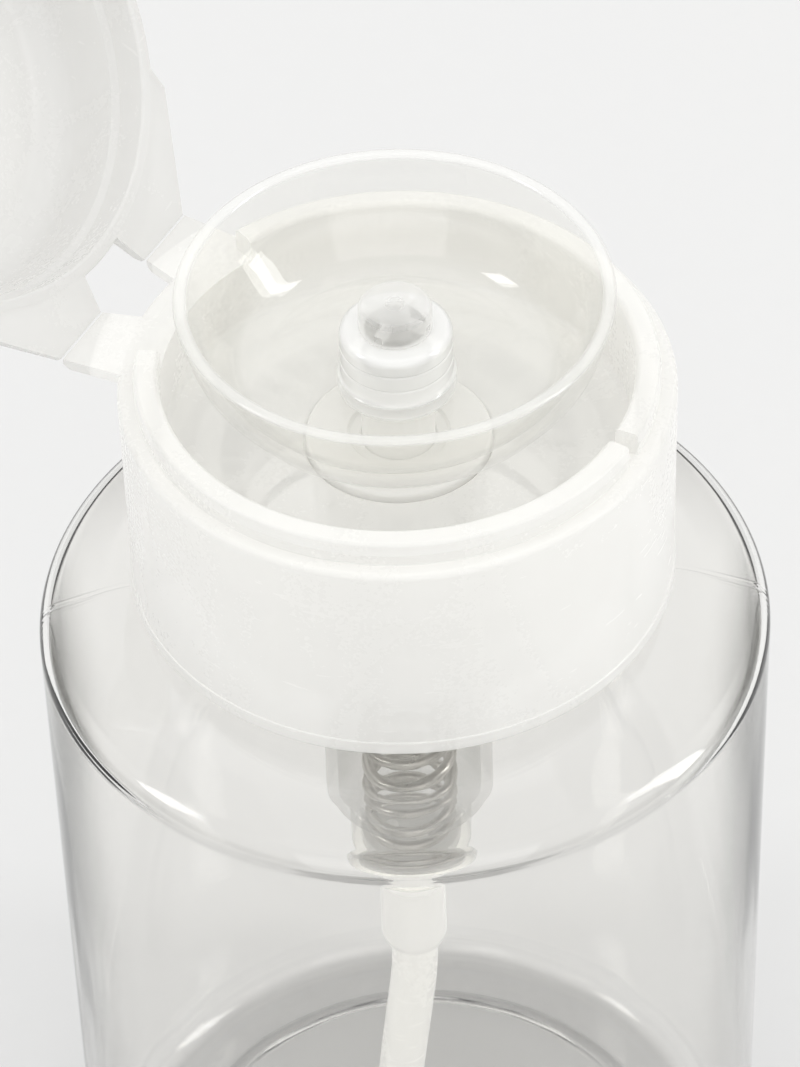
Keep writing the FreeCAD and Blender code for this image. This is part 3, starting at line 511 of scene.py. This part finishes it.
def makeBottle():
    size = bottleSize
    side = high("bottle").x
    inside = side - size["wall"]
    neckRoot = size["shoulder"] + size["rise"]
    recess = size["footRadius"] - size["footSlope"]
    bore = size["neckRadius"] - size["neckWall"]
    wall = size["wall"]
    innerRound = size["shoulderRound"] - wall
    outside = [
        (0, size["pushUp"]), (recess, size["pushUp"], size["recessRound"]),
        (size["footRadius"], 0, size["footRound"]),
        (side, 0, size["heelRound"]), (side, size["shoulder"], size["shoulderRound"]),
        (size["crownRadius"], size["shoulder"] + size["crownRise"], size["crownRound"]),
        (size["neckRadius"], neckRoot, size["neckRound"]), (size["neckRadius"], neckTop, size["lipRound"]),
    ]
    hollow = [
        (bore, neckTop, size["lipRound"]), (bore, neckRoot - wall, size["boreRound"]),
        (size["crownRadius"], size["shoulder"] + size["crownRise"] - wall, size["crownRound"]),
        (inside, size["shoulder"] - wall, innerRound), (inside, size["floor"], size["heelRound"] - wall),
        (size["footRadius"], size["floor"], size["footRound"]),
        (recess, size["pushUp"] + size["floor"], size["recessRound"]),
        (0, size["pushUp"] + size["floor"]),
    ]
    points = divided(rounded(outside + hollow, 6), size["longest"])
    blown = {point for point in points if abs(point[0] - inside) < 0.05 and point[1] > size["floor"] + 3}

    def wallWobble(angle, radius, height):
        # the blown wall varies a little in thickness, on the inside only
        if (radius, height) not in blown:
            return radius, height
        spot = Vector((math.cos(angle) * 1.1, math.sin(angle) * 1.1, height / 38))
        shift = noise.noise(spot + Vector((4.2, 1.7, 9.1))) * size["unevenness"]
        return radius - abs(shift) * 0.8 - shift * 0.2, height

    bottle = smooth(turned("bottleShell", points, 256, wallWobble), 50)
    finished(bottle, "bottle", bottlePlastic, "clear_pet", "bottle")


makeBottle()


# what repeats or follows a path, as node trees

class Growth:
    # a geometry node tree with named inputs
    def __init__(self, name):
        self.tree = bpy.data.node_groups.new(name, "GeometryNodeTree")
        self.tree.interface.new_socket("Geometry", in_out="OUTPUT", socket_type="NodeSocketGeometry")
        self.inputs = self.tree.nodes.new("NodeGroupInput")
        self.values = {}

    def asks(self, name, value, kind="NodeSocketFloat"):
        socket = self.tree.interface.new_socket(name, in_out="INPUT", socket_type=kind)
        self.values[socket.identifier] = value
        return self.inputs.outputs[name]

    def add(self, kind, settings=None, values=None, output=0):
        made = self.tree.nodes.new(kind)
        for name, value in (settings or {}).items():
            setattr(made, name, value)
        for name, value in (values or {}).items():
            if isinstance(value, bpy.types.NodeSocket):
                self.tree.links.new(value, made.inputs[name])
            else:
                made.inputs[name].default_value = value
        return made.outputs[output]

    def math(self, operation, first, second):
        return self.add("ShaderNodeMath", {"operation": operation}, {0: first, 1: second})

    def grow(self, name, geometry, material):
        real = self.add("GeometryNodeRealizeInstances", None, {"Geometry": geometry})
        painted = self.add("GeometryNodeSetMaterial", None, {"Geometry": real, "Material": material})
        ending = self.tree.nodes.new("NodeGroupOutput")
        self.tree.links.new(painted, ending.inputs[0])
        piece = newObject(name, bpy.data.meshes.new(name))
        step = piece.modifiers.new("grow", "NODES")
        step.node_group = self.tree
        for identifier, value in self.values.items():
            step[identifier] = value
        return evaluated(piece)


turnSteps = 48
thinEnd = 0.15


def coiled(name, material, size, profileSides):
    # wire along a helix whose end turns may lie closed, thinner at its very ends
    tree = Growth(name)
    turns = tree.asks("Turns", float(size["turns"]))
    radius = tree.asks("Radius", size["radius"] * mm)
    foot = tree.asks("Foot", size["foot"] * mm)
    rise = tree.asks("Rise", size["rise"] * mm)
    closed = tree.asks("Closed turns", float(size["closed"]))
    closedRise = tree.asks("Closed rise", size["closedRise"] * mm)
    taper = tree.asks("Taper turns", size["taper"])
    wide = tree.asks("Wide", size["wide"] * mm)
    tall = tree.asks("Tall", size["tall"] * mm)
    line = tree.add("GeometryNodeCurvePrimitiveLine")
    count = round(size["turns"] * turnSteps)
    line = tree.add("GeometryNodeResampleCurve", None, {"Curve": line, "Count": count})
    along = tree.add("GeometryNodeSplineParameter")
    turn = tree.math("MULTIPLY", along, turns)
    angle = tree.math("MULTIPLY", turn, math.tau)
    lastClosed = tree.math("SUBTRACT", turns, closed)

    def ramp(start, end, height):
        values = {"Value": turn, "From Min": start, "From Max": end, "To Max": height}
        return tree.add("ShaderNodeMapRange", None, values)

    activeRise = tree.math("SUBTRACT", rise, tree.math("MULTIPLY", closedRise, 2.0))
    height = tree.math("ADD", foot, ramp(0.0, closed, closedRise))
    height = tree.math("ADD", height, ramp(closed, lastClosed, activeRise))
    height = tree.math("ADD", height, ramp(lastClosed, turns, closedRise))
    x = tree.math("MULTIPLY", tree.add("ShaderNodeMath", {"operation": "COSINE"}, {0: angle}), radius)
    y = tree.math("MULTIPLY", tree.add("ShaderNodeMath", {"operation": "SINE"}, {0: angle}), radius)
    place = tree.add("ShaderNodeCombineXYZ", None, {"X": x, "Y": y, "Z": height})
    line = tree.add("GeometryNodeSetPosition", None, {"Geometry": line, "Position": place})
    fromEnd = tree.math("SUBTRACT", turns, turn)
    nearEnd = tree.math("MINIMUM", turn, fromEnd)
    values = {"Value": nearEnd, "From Min": 0.0, "From Max": taper, "To Min": thinEnd}
    thin = tree.add("ShaderNodeMapRange", {"interpolation_type": "SMOOTHSTEP"}, values)
    line = tree.add("GeometryNodeSetCurveRadius", None, {"Curve": line, "Radius": thin})
    section = tree.add("GeometryNodeCurvePrimitiveCircle", None, {"Resolution": profileSides, "Radius": 1.0})
    scale = tree.add("ShaderNodeCombineXYZ", None, {"X": wide, "Y": tall, "Z": 1.0})
    section = tree.add("GeometryNodeTransform", None, {"Geometry": section, "Scale": scale})
    wire = tree.add("GeometryNodeCurveToMesh", None, {
        "Curve": line, "Profile Curve": section, "Fill Caps": True})
    return tree.grow(name, wire, material)


def spokes(name, material, size):
    # flat ribs round the axis
    tree = Growth(name)
    count = tree.asks("Count", size["count"], "NodeSocketInt")
    near = tree.asks("Inner radius", size["near"] * mm)
    far = tree.asks("Outer radius", size["far"] * mm)
    thick = tree.asks("Thickness", size["thickness"] * mm)
    foot = tree.asks("Foot", size["foot"] * mm)
    top = tree.asks("Top", size["top"] * mm)
    box = tree.add("ShaderNodeCombineXYZ", None, {
        "X": tree.math("SUBTRACT", far, near), "Y": thick, "Z": tree.math("SUBTRACT", top, foot)})
    rib = tree.add("GeometryNodeMeshCube", None, {"Size": box})
    middle = tree.add("ShaderNodeCombineXYZ", None, {
        "X": tree.math("MULTIPLY", tree.math("ADD", far, near), 0.5),
        "Z": tree.math("MULTIPLY", tree.math("ADD", foot, top), 0.5)})
    rib = tree.add("GeometryNodeTransform", None, {"Geometry": rib, "Translation": middle})
    points = tree.add("GeometryNodePoints", None, {"Count": count})
    number = tree.add("GeometryNodeInputIndex")
    turn = tree.math("MULTIPLY", tree.math("DIVIDE", number, count), math.tau)
    spin = tree.add("ShaderNodeCombineXYZ", None, {"Z": turn})
    ribs = tree.add("GeometryNodeInstanceOnPoints", None, {
        "Points": points, "Instance": rib, "Rotation": spin})
    return tree.grow(name, ribs, material)


threadSize = {
    "turns": 1.4, "radius": 15.15, "foot": 85.55, "rise": 5.88, "closed": 0.01, "closedRise": 0.01,
    "taper": 0.2, "wide": 0.86, "tall": 0.8,
}


def makeThread():
    thread = coiled("neckThread", bottlePlastic, threadSize, 10)
    finished(smooth(thread, 60), "bottle", bottlePlastic, "clear_pet")


makeThread()


# closure

collarSize = {
    "foot": 22.1, "side": 22.0, "lip": 1.3, "height": 19.5, "wall": 1.3, "ringOutside": 20.6,
    "ringInside": 18.7, "ringHeight": 2.05, "bead": 0.12, "wellDepth": 6.0, "deck": 1.4, "hole": 7.6,
    "bore": 16.35, "innerSkirt": 17.55, "innerFoot": 0.9, "wellOutside": 19.8, "ledge": 1.4,
    "gapHalfAngle": 23.0, "notch": 1.5, "footRound": 0.35, "lipRound": 0.06, "lipSlope": 0.1,
    "edgeRound": 0.47, "ringFootRound": 0.12, "beadHalf": 0.36, "beadRound": 0.1, "ringRound": 0.5,
    "wellRound": 0.55, "holeRound": 0.2, "deckRound": 0.15, "skirtRound": 0.3, "cutMargin": 1.0,
    "cutLift": 0.002, "cutTop": 3.0,
}
strapSize = {
    "windowRoot": 2.4, "windowFold": 3.5, "root": 9.2, "fold": 9.7, "gap": 0.05, "thickness": 0.95,
    "bevel": 0.45, "bite": 0.65, "webSide": 16.4, "webReach": 8.4, "drop": 0.001, "webLift": 0.02,
}
ribSize = {"count": 8, "near": 17.2, "far": 20.95, "thickness": 0.9, "foot": 86.4, "top": 95.2}


def onCircle(radius, x):
    return (x, math.sqrt(radius * radius - x * x))


def mirrored(corners):
    return [(-x, y) for x, y in reversed(corners)]


def strapLayers(side, foot, top):
    # one strap of the hinge, bevelled along the foot of its end beside the fold
    size = strapSize
    root = collarSize["side"] - size["bite"]
    fold = foldReach - size["gap"]

    def outline(reach):
        share = (reach - root) / (fold - root)
        inner = size["windowRoot"] + (size["windowFold"] - size["windowRoot"]) * share
        outer = size["root"] + (size["fold"] - size["root"]) * share
        corners = [onCircle(root, size["windowRoot"]), onCircle(root, size["root"])]
        corners += [(outer, reach), (inner, reach)]
        return corners if side > 0 else mirrored(corners)

    bevel = size["bevel"]
    return [(foot, outline(fold - bevel)), (foot + bevel, outline(fold)), (top, outline(fold))]


def wedge(name, halfAngle, near, far, middle, foot, top):
    # a sector of a ring between two heights
    corners = []
    for radius, order in ((near, (-1, 0, 1)), (far, (1, 0, -1))):
        for side in order:
            angle = math.radians(middle + side * halfAngle)
            corners.append((radius * math.cos(angle), radius * math.sin(angle)))
    return layered(name, [(foot, corners), (top, corners)])


def makeCollar():
    size = collarSize
    top = size["height"]
    floor = top - size["wellDepth"]
    deck = floor - size["deck"]
    ringTop = top + size["ringHeight"]
    beadHeight = top + size["ringHeight"] / 2
    lining = size["side"] - size["wall"]
    skirt = size["skirtRound"]
    points = rounded([
        (lining, 0, size["footRound"]), (size["foot"], 0, size["footRound"]),
        (size["foot"], size["lip"], size["lipRound"]),
        (size["side"], size["lip"] + size["lipSlope"], size["lipRound"]),
        (size["side"], top, size["edgeRound"]), (size["ringOutside"], top, size["ringFootRound"]),
        (size["ringOutside"], beadHeight - size["beadHalf"]),
        (size["ringOutside"] + size["bead"], beadHeight, size["beadRound"]),
        (size["ringOutside"], beadHeight + size["beadHalf"]),
        (size["ringOutside"], ringTop, size["ringRound"]),
        (size["ringInside"], ringTop, size["ringRound"]), (size["ringInside"], floor, size["wellRound"]),
        (size["hole"], floor, size["holeRound"]), (size["hole"], deck, size["deckRound"]),
        (size["bore"], deck, skirt), (size["bore"], size["innerFoot"], skirt),
        (size["innerSkirt"], size["innerFoot"], skirt), (size["innerSkirt"], deck, skirt),
        (size["wellOutside"], deck, skirt), (size["wellOutside"], top - size["ledge"], skirt),
        (lining, top - size["ledge"], skirt),
    ])
    collar = turned("collarShell", points, 256, lift=skirtFoot)
    notchAngle = math.degrees(size["notch"] / 2 / size["ringOutside"])
    near = size["ringInside"] - size["cutMargin"]
    far = size["side"] + size["cutMargin"]
    for name, halfAngle, middle in (("hingeGap", size["gapHalfAngle"], 90), ("frontNotch", notchAngle, 270)):
        cut = wedge(name, halfAngle, near, far, middle, ledge + size["cutLift"], ledge + size["cutTop"])
        combine(collar, cut, "DIFFERENCE")
    for side in (-1, 1):
        layers = strapLayers(side, ledge - strapSize["thickness"], ledge - strapSize["drop"])
        combine(collar, layered("strap", layers), "UNION")
    smooth(collar, 38)
    finished(collar, "closure", collarPlastic, "milky_pp", "collar")
    ribs = spokes("collarRibs", collarPlastic, ribSize)
    finished(ribs, "closure", collarPlastic, "milky_pp")


makeCollar()

capSize = {
    "seat": 0.1, "side": 22.0, "topSide": 21.65, "height": 11.6, "roof": 1.2, "edgeRound": 3.8,
    "innerRound": 3.0, "mouth": 20.8, "narrow": 20.3, "topInside": 19.95, "mouthDepth": 3.0, "step": 0.5,
    "tabHalf": 4.0, "tabReach": 1.3, "tabThickness": 0.95, "tabTaper": 0.75, "rimRound": 0.3,
    "narrowRound": 0.3, "mouthRound": 0.2, "arcSteps": 10,
}


def makeCap():
    # built shut, round its own axis with the ledge at height 0, then swung open about the fold
    size = capSize
    roof = size["height"] - size["roof"]
    points = rounded([
        (size["mouth"], size["seat"], size["rimRound"]), (size["side"], size["seat"], size["rimRound"]),
        (size["topSide"], size["height"], size["edgeRound"]), (0, size["height"]), (0, roof),
        (size["topInside"], roof, size["innerRound"]),
        (size["narrow"], size["mouthDepth"] + size["step"], size["narrowRound"]),
        (size["mouth"], size["mouthDepth"], size["mouthRound"]),
    ])
    cap = turned("capShell", points, 256)
    rim = size["side"] - strapSize["bite"]
    fold = foldReach - strapSize["gap"]
    start = math.asin(strapSize["windowRoot"] / rim)
    end = math.asin(strapSize["webSide"] / rim)
    steps = size["arcSteps"]
    arc = [start + (end - start) * part / steps for part in range(steps + 1)]
    foot = size["seat"] + strapSize["webLift"]
    top = size["seat"] + strapSize["thickness"]
    bevel = strapSize["bevel"]
    for side in (-1, 1):
        layers = []
        for height, reach in ((foot, fold), (top - bevel, fold), (top, fold - bevel)):
            corners = [(rim * math.sin(angle), rim * math.cos(angle)) for angle in arc]
            corners += [(strapSize["webSide"], foldReach - strapSize["webReach"])]
            corners += [(strapSize["fold"], reach), (strapSize["windowFold"], reach)]
            layers.append((height, corners if side > 0 else mirrored(corners)))
        combine(cap, layered("web", layers), "UNION")
    half = size["tabHalf"]
    front = -size["side"] - size["tabReach"]
    root = -onCircle(rim, half)[1]
    tip = half * size["tabTaper"]
    corners = [(-half, root), (-tip, front), (tip, front), (half, root)]
    combine(cap, layered("tab", [(foot, corners), (size["seat"] + size["tabThickness"], corners)]), "UNION")
    cap.data.transform(Matrix.Translation((0, 0, ledge * mm)))
    turnAbout(cap, foldPoint, (-1, 0, 0), openAngle)
    finished(smooth(cap, 38), "cap", capPlastic, "milky_pp", "flip_cap")


makeCap()


# dish, nozzle and stem

dishSize = {
    "socket": 2.92, "socketDepth": 2.7, "base": 12.6, "waist": 16.1, "waistDrop": 4.7, "rim": 17.3,
    "wall": 1.15, "depth": 8.3, "waistRound": 7.0, "floorRound": 4.0, "post": 4.45, "postHeight": 4.6,
    "postRound": 1.1, "postBore": 2.42, "rimRound": 0.5, "lines": (1.6, 3.1), "lineDepth": 0.07,
    "lineHalf": 0.16, "lineRound": 0.05, "postFootRound": 0.5, "boreRound": 0.15, "stepRound": 0.05,
}


def makeDish():
    size = dishSize
    wall = size["wall"]
    top = wall + size["depth"]
    waist = top - size["waistDrop"]
    postTop = wall + size["postHeight"]
    corners = [
        (size["socket"], 0, size["boreRound"]), (size["base"], 0, size["floorRound"]),
        (size["waist"], waist, size["waistRound"]), (size["rim"], top, size["rimRound"]),
        (size["rim"] - wall, top, size["rimRound"]), (size["waist"] - wall, waist, size["waistRound"] - wall),
        (size["base"] - wall / 2, wall, size["floorRound"] - wall),
        (size["post"], wall, size["postFootRound"]),
    ]
    for line in size["lines"]:
        for across, along in ((0, -size["lineHalf"]), (size["lineDepth"], 0), (0, size["lineHalf"])):
            corners.append((size["post"] - across, wall + line + along, size["lineRound"]))
    corners += [
        (size["post"], postTop, size["postRound"]), (size["postBore"], postTop, size["boreRound"]),
        (size["postBore"], size["socketDepth"], size["stepRound"]),
        (size["socket"], size["socketDepth"], size["stepRound"]),
    ]
    dish = turned("dishBowl", rounded(corners, 5), 256, lift=low("dish").z)
    finished(smooth(dish, 50), "plunger", dishPlastic, "clear_dish", "dish")


nozzleSize = {
    "bore": 1.2, "plug": 2.4, "plugHeight": 2.55, "head": 2.9, "headHeight": 2.25, "headRound": 0.4,
    "roof": 0.8, "dimple": 0.55, "dimpleSlope": 0.25, "dimpleDepth": 0.22, "dimpleRound": 0.1, "slit": 0.7,
    "slits": 4, "slitDepthFrom": 0.2, "slitMargin": 1.0,
}


def makeNozzle():
    size = nozzleSize
    foot = low("splash_nozzle").z
    top = size["plugHeight"] + size["headHeight"]
    points = rounded([
        (size["bore"], 0, 0.15), (size["plug"], 0, 0.2), (size["plug"], size["plugHeight"], 0.05),
        (size["head"], size["plugHeight"], 0.12), (size["head"], top, size["headRound"]),
        (size["dimple"] + size["dimpleSlope"], top, size["dimpleRound"]),
        (size["dimple"], top - size["dimpleDepth"], size["dimpleRound"]),
        (0, top - size["dimpleDepth"]), (0, top - size["roof"]), (size["bore"], top - size["roof"], 0.3),
    ])
    nozzle = turned("splashNozzle", points, 96, lift=foot)
    half = size["slit"] / 2
    level = foot + size["plugHeight"] + half
    near = size["slitDepthFrom"]
    far = size["head"] + size["slitMargin"]
    corners = [(-half, near), (half, near), (half, far), (-half, far)]
    for part in range(size["slits"]):
        cut = layered("slit", [(level, corners), (level + size["slit"], corners)])
        cut.data.transform(Matrix.Rotation(math.tau * part / size["slits"], 4, "Z"))
        combine(nozzle, cut, "DIFFERENCE")
    finished(smooth(nozzle, 40), "plunger", nozzlePlastic, "milky_pp_bright", "splash_nozzle")


simplePieces = {
    # name: node, body, material, slot, half section in mm above the node's foot
    "stemTube": ("stem", "plunger", innerPlastic, "white_pp", [
        (0.9, 0, 0.15), (2.9, 0, 0.25), (2.9, 24.2, 0.2), (1.8, 24.2, 0.2), (1.8, 22.1, 0.1),
        (0.9, 21.2, 0.1)]),
    "stemGuide": ("stem_guide", "closure", innerPlastic, "white_pp", [
        (3.0, 0, 0.2), (5.93, 0, 0.3), (5.93, 5.0, 0.1), (7.4, 5.0, 0.15), (7.4, 7.0, 0.35), (4.1, 7.0, 0.1),
        (3.9, 6.7, 0.1), (3.0, 6.7, 0.2)]),
    "pumpHousing": ("pump_housing", "closure", housingPlastic, "clear_milky_pp", [
        (2.02, 0, 0.15), (2.6, 0, 0.2), (2.85, 0.9, 0.3), (2.85, 7.6, 0.5), (5.3, 11.2, 0.8),
        (5.3, 16.7, 0.4), (6.95, 18.2, 0.6), (6.95, 57.1, 0.3), (14.5, 57.1, 0.3), (14.5, 58.3, 0.3),
        (5.95, 58.3, 0.2), (5.95, 18.2, 0.4), (4.4, 16.7, 0.4), (4.4, 11.2, 0.2), (2.4, 11.2, 0.2),
        (2.4, 9.0, 0.2), (1.0, 7.6, 0.15), (1.0, 5.7, 0.1), (2.02, 5.7, 0.1)]),
    "pistonSleeve": ("piston", "plunger", innerPlastic, "white_pe", [
        (2.92, 0, 0.15), (5.85, 0, 0.25), (5.85, 1.2, 0.2), (5.35, 1.7, 0.3), (5.35, 4.3, 0.3),
        (5.85, 4.8, 0.2), (5.85, 6.0, 0.25), (2.92, 6.0, 0.15)]),
    "springCup": ("spring_cup", "plunger", innerPlastic, "white_pp", [
        (0, 0), (2.8, 0, 0.4), (2.8, 3.2, 0.15), (4.0, 3.2, 0.2), (4.0, 6.0, 0.3), (2.92, 6.0, 0.15),
        (2.92, 4.4, 0.1), (0, 4.4)]),
    "neckGasket": ("neck_gasket", "closure", foam, "white_foam", [
        (12.65, 0, 0.15), (15.85, 0, 0.15), (15.85, 1.0, 0.15), (12.65, 1.0, 0.15)]),
}


stemPort = {"half": 0.6, "level": 2.15, "reach": 4.0}


def cutPort(stem):
    # square cross hole just under the piston
    half = stemPort["half"]
    reach = stemPort["reach"]
    level = low("stem").z + stemPort["level"]
    corners = [(-half, -reach), (half, -reach), (half, reach), (-half, reach)]
    combine(stem, layered("port", [(level - half, corners), (level + half, corners)]), "DIFFERENCE")


def makeSimplePieces():
    for name, (node, body, material, slot, corners) in simplePieces.items():
        piece = turned(name, rounded(corners), 128, lift=low(node).z)
        if node == "stem":
            cutPort(piece)
        finished(smooth(piece, 40), body, material, slot, node)


retainerSize = {
    "radius": 4.38, "thickness": 1.2, "round": 0.15, "hole": 0.6, "pitch": 1.7, "holes": 3, "holeSides": 24,
    "cutMargin": 0.5,
}


def makeRetainer():
    size = retainerSize
    foot = low("ball_retainer").z
    top = size["thickness"]
    points = rounded([
        (0, 0), (size["radius"], 0, size["round"]), (size["radius"], top, size["round"]), (0, top)])
    retainer = turned("ballRetainer", points, 96, lift=foot)
    spokesOfHole = [math.tau * step / size["holeSides"] for step in range(size["holeSides"])]
    for part in range(size["holes"]):
        angle = math.tau * part / size["holes"]
        ring = [(size["pitch"] * math.cos(angle) + size["hole"] * math.cos(spoke),
                 size["pitch"] * math.sin(angle) + size["hole"] * math.sin(spoke)) for spoke in spokesOfHole]
        cut = [(foot - size["cutMargin"], ring), (foot + top + size["cutMargin"], ring)]
        combine(retainer, layered("retainerHole", cut), "DIFFERENCE")
    finished(smooth(retainer, 40), "closure", innerPlastic, "white_pp", "ball_retainer")


springSize = {"turns": 13.0, "radius": 3.55, "wire": 0.9, "closed": 1.0, "closedPitch": 1.15, "taper": 0.02}


def makeSpring():
    size = dict(springSize)
    foot = low("pump_spring").z
    top = high("pump_spring").z
    wire = size["wire"]
    size.update({"foot": foot + wire / 2, "rise": top - foot - wire, "closedRise": wire * size["closedPitch"],
                 "wide": wire / 2, "tall": wire / 2})
    spring = coiled("pumpSpring", steel, size, 14)
    finished(smooth(spring, 60), "closure", steel, "steel", "pump_spring")
    pressed = next(joint for joint in frame["joints"] if joint["name"] == "dish_press")
    keep = 1 - pressed["range_m"][1] / mm / (top - foot)
    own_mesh(spring)


balls = [
    # piece, node, body
    ("outletBall", "outlet_ball", "outlet_valve"),
    ("inletBall", "inlet_ball", "inlet_valve"),
]


def makeBalls():
    for name, node, body in balls:
        build = bmesh.new()
        radius = (high(node).z - low(node).z) / 2 * mm
        bmesh.ops.create_icosphere(build, subdivisions=5, radius=radius)
        middle = (low(node) + high(node)) / 2 * mm
        bmesh.ops.translate(build, verts=build.verts, vec=middle)
        finished(smooth(meshed(name, build)), body, steel, "steel", node)


tubeSize = {
    "outside": 2.0, "inside": 1.4, "lead": 7.2, "bend": 45.0, "bendSteps": 8, "lean": 6.2, "heading": 119.2,
    "sides": 48,
}


def makeDipTube():
    # hollow tube down the socket's axis, then one gentle bend and a straight leaning run
    size = tubeSize
    top = high("dip_tube").z
    foot = low("dip_tube").z
    lean = math.radians(size["lean"])
    heading = math.radians(size["heading"])
    bendTop = top - size["lead"]
    stations = [(0, top, 0), (0, bendTop, 0)]
    for part in range(1, size["bendSteps"] + 1):
        turn = lean * part / size["bendSteps"]
        across = size["bend"] * (1 - math.cos(turn))
        stations.append((across, bendTop - size["bend"] * math.sin(turn), turn))
    reach, level, _ = stations[-1]
    drop = level - foot - size["outside"] * math.sin(lean)
    stations.append((reach + drop * math.tan(lean), level - drop, lean))
    build = bmesh.new()
    loops = []
    for radius, order in ((size["outside"], stations), (size["inside"], list(reversed(stations)))):
        for reach, level, turn in order:
            ring = []
            for side in range(size["sides"]):
                angle = math.tau * side / size["sides"]
                along = radius * math.cos(angle)
                across = radius * math.sin(angle)
                outward = reach + along * math.cos(turn)
                x = outward * math.cos(heading) - across * math.sin(heading)
                y = outward * math.sin(heading) + across * math.cos(heading)
                ring.append(build.verts.new((x * mm, y * mm, (level + along * math.sin(turn)) * mm)))
            loops.append(ring)
    for index, ring in enumerate(loops):
        following = loops[(index + 1) % len(loops)]
        for side in range(size["sides"]):
            other = (side + 1) % size["sides"]
            build.faces.new((ring[side], following[side], following[other], ring[other]))
    bmesh.ops.recalc_face_normals(build, faces=build.faces)
    finished(smooth(meshed("dipTube", build), 50), "closure", tubePlastic, "milky_pe", "dip_tube")


makeDish()
makeNozzle()
makeSimplePieces()
makeRetainer()
makeSpring()
makeBalls()
makeDipTube()


# camera, floor and light

viewSet = {
    "distance": 282.27, "height": 260.71, "heading": 29.2, "pitch": 44.524, "yaw": -0.034,
    "roll": -1.841, "lens": 165.19, "sensor": 36, "nearest": 0.01,
}


def makeCamera():
    # the heading is the compass angle of the view, from +X towards +Y
    heading = math.radians(viewSet["heading"])
    pitch = math.radians(viewSet["pitch"])
    roll = math.radians(viewSet["roll"])
    turn = heading - math.radians(viewSet["yaw"])
    place = Vector((-math.cos(heading) * viewSet["distance"], -math.sin(heading) * viewSet["distance"],
                    ledge + viewSet["height"])) * mm
    forward = Vector((math.cos(turn) * math.cos(pitch), math.sin(turn) * math.cos(pitch), -math.sin(pitch)))
    right = forward.cross(Vector((0, 0, 1))).normalized()
    up = right.cross(forward)
    rolledRight = right * math.cos(roll) + up * math.sin(roll)
    rolledUp = up * math.cos(roll) - right * math.sin(roll)
    data = bpy.data.cameras.new("camera")
    data.lens = viewSet["lens"]
    data.sensor_width = viewSet["sensor"]
    data.clip_start = viewSet["nearest"]
    camera = newObject("camera", data)
    axes = Matrix((rolledRight, rolledUp, -forward)).transposed()
    camera.matrix_world = Matrix.Translation(place) @ axes.to_4x4()
    bpy.context.scene.camera = camera


makeCamera()

floorLook = {
    "half": 1.5, "tone": (0.54, 0.54, 0.535, 1), "fibre": (0.55, 0.55, 0.545, 1), "roughness": 0.9,
    "glow": 0.26,
}
worldLook = {
    # how bright the surroundings are, from straight down to straight up
    "stops": [(0.0, 0.7), (0.46, 0.6), (0.5, 0.06), (0.6, 0.1), (0.68, 0.95), (1.0, 1.05)],
    "strength": 0.95,
}
lightAim = (0, 0, 0.09)
lights = [
    # name, place in metres, size, power
    ("overhead", (0.1, 0.15, 1.0), (0.7, 0.7), 0.6),
    ("leftWindow", (-0.42, 0.5, 0.62), (0.16, 0.3), 0.9),
    ("rightStrip", (0.25, -0.65, 0.45), (0.15, 0.6), 1.4),
    ("frontFill", (-0.75, -0.45, 0.5), (1.1, 0.9), 2.2),
]


def makeWorld():
    world = bpy.data.worlds.new("studio")
    world.use_nodes = True
    tree = world.node_tree
    sky = tree.nodes["Background"]
    direction = tree.nodes.new("ShaderNodeTexCoord")
    apart = tree.nodes.new("ShaderNodeSeparateXYZ")
    tree.links.new(direction.outputs["Generated"], apart.inputs[0])
    climb = tree.nodes.new("ShaderNodeMapRange")
    climb.inputs["From Min"].default_value = -1
    tree.links.new(apart.outputs["Z"], climb.inputs["Value"])
    ramp = tree.nodes.new("ShaderNodeValToRGB")
    elements = ramp.color_ramp.elements
    stops = worldLook["stops"]
    while len(elements) < len(stops):
        elements.new(1)
    for element, (position, level) in zip(elements, stops):
        element.position = position
        element.color = (level, level, level, 1)
    tree.links.new(climb.outputs[0], ramp.inputs[0])
    tree.links.new(ramp.outputs[0], sky.inputs["Color"])
    sky.inputs["Strength"].default_value = worldLook["strength"]
    bpy.context.scene.world = world


def makeStage():
    finish = Finish("palePaper")
    tone = finish.cloud(finish.place(), 300, 3)
    material = finish.surface({
        "Base Color": finish.mixed(tone, floorLook["tone"], floorLook["fibre"]),
        "Roughness": floorLook["roughness"], "Emission Color": (1, 1, 1, 1),
        "Emission Strength": floorLook["glow"],
    })
    half = floorLook["half"]
    corners = [(-half, -half, 0), (half, -half, 0), (half, half, 0), (-half, half, 0)]
    mesh = bpy.data.meshes.new("floor")
    mesh.from_pydata(corners, [], [range(4)])
    floor = newObject("floor", mesh)
    floor.data.materials.append(material)
    for name, place, size, power in lights:
        data = bpy.data.lights.new(name, "AREA")
        data.shape = "RECTANGLE"
        data.size, data.size_y = size
        data.energy = power
        lamp = newObject(name, data)
        aim = Vector(lightAim) - Vector(place)
        lamp.matrix_world = Matrix.Translation(place) @ aim.to_track_quat("-Z", "Y").to_matrix().to_4x4()
    makeWorld()
    bpy.context.scene.view_settings.view_transform = "Standard"


makeStage()
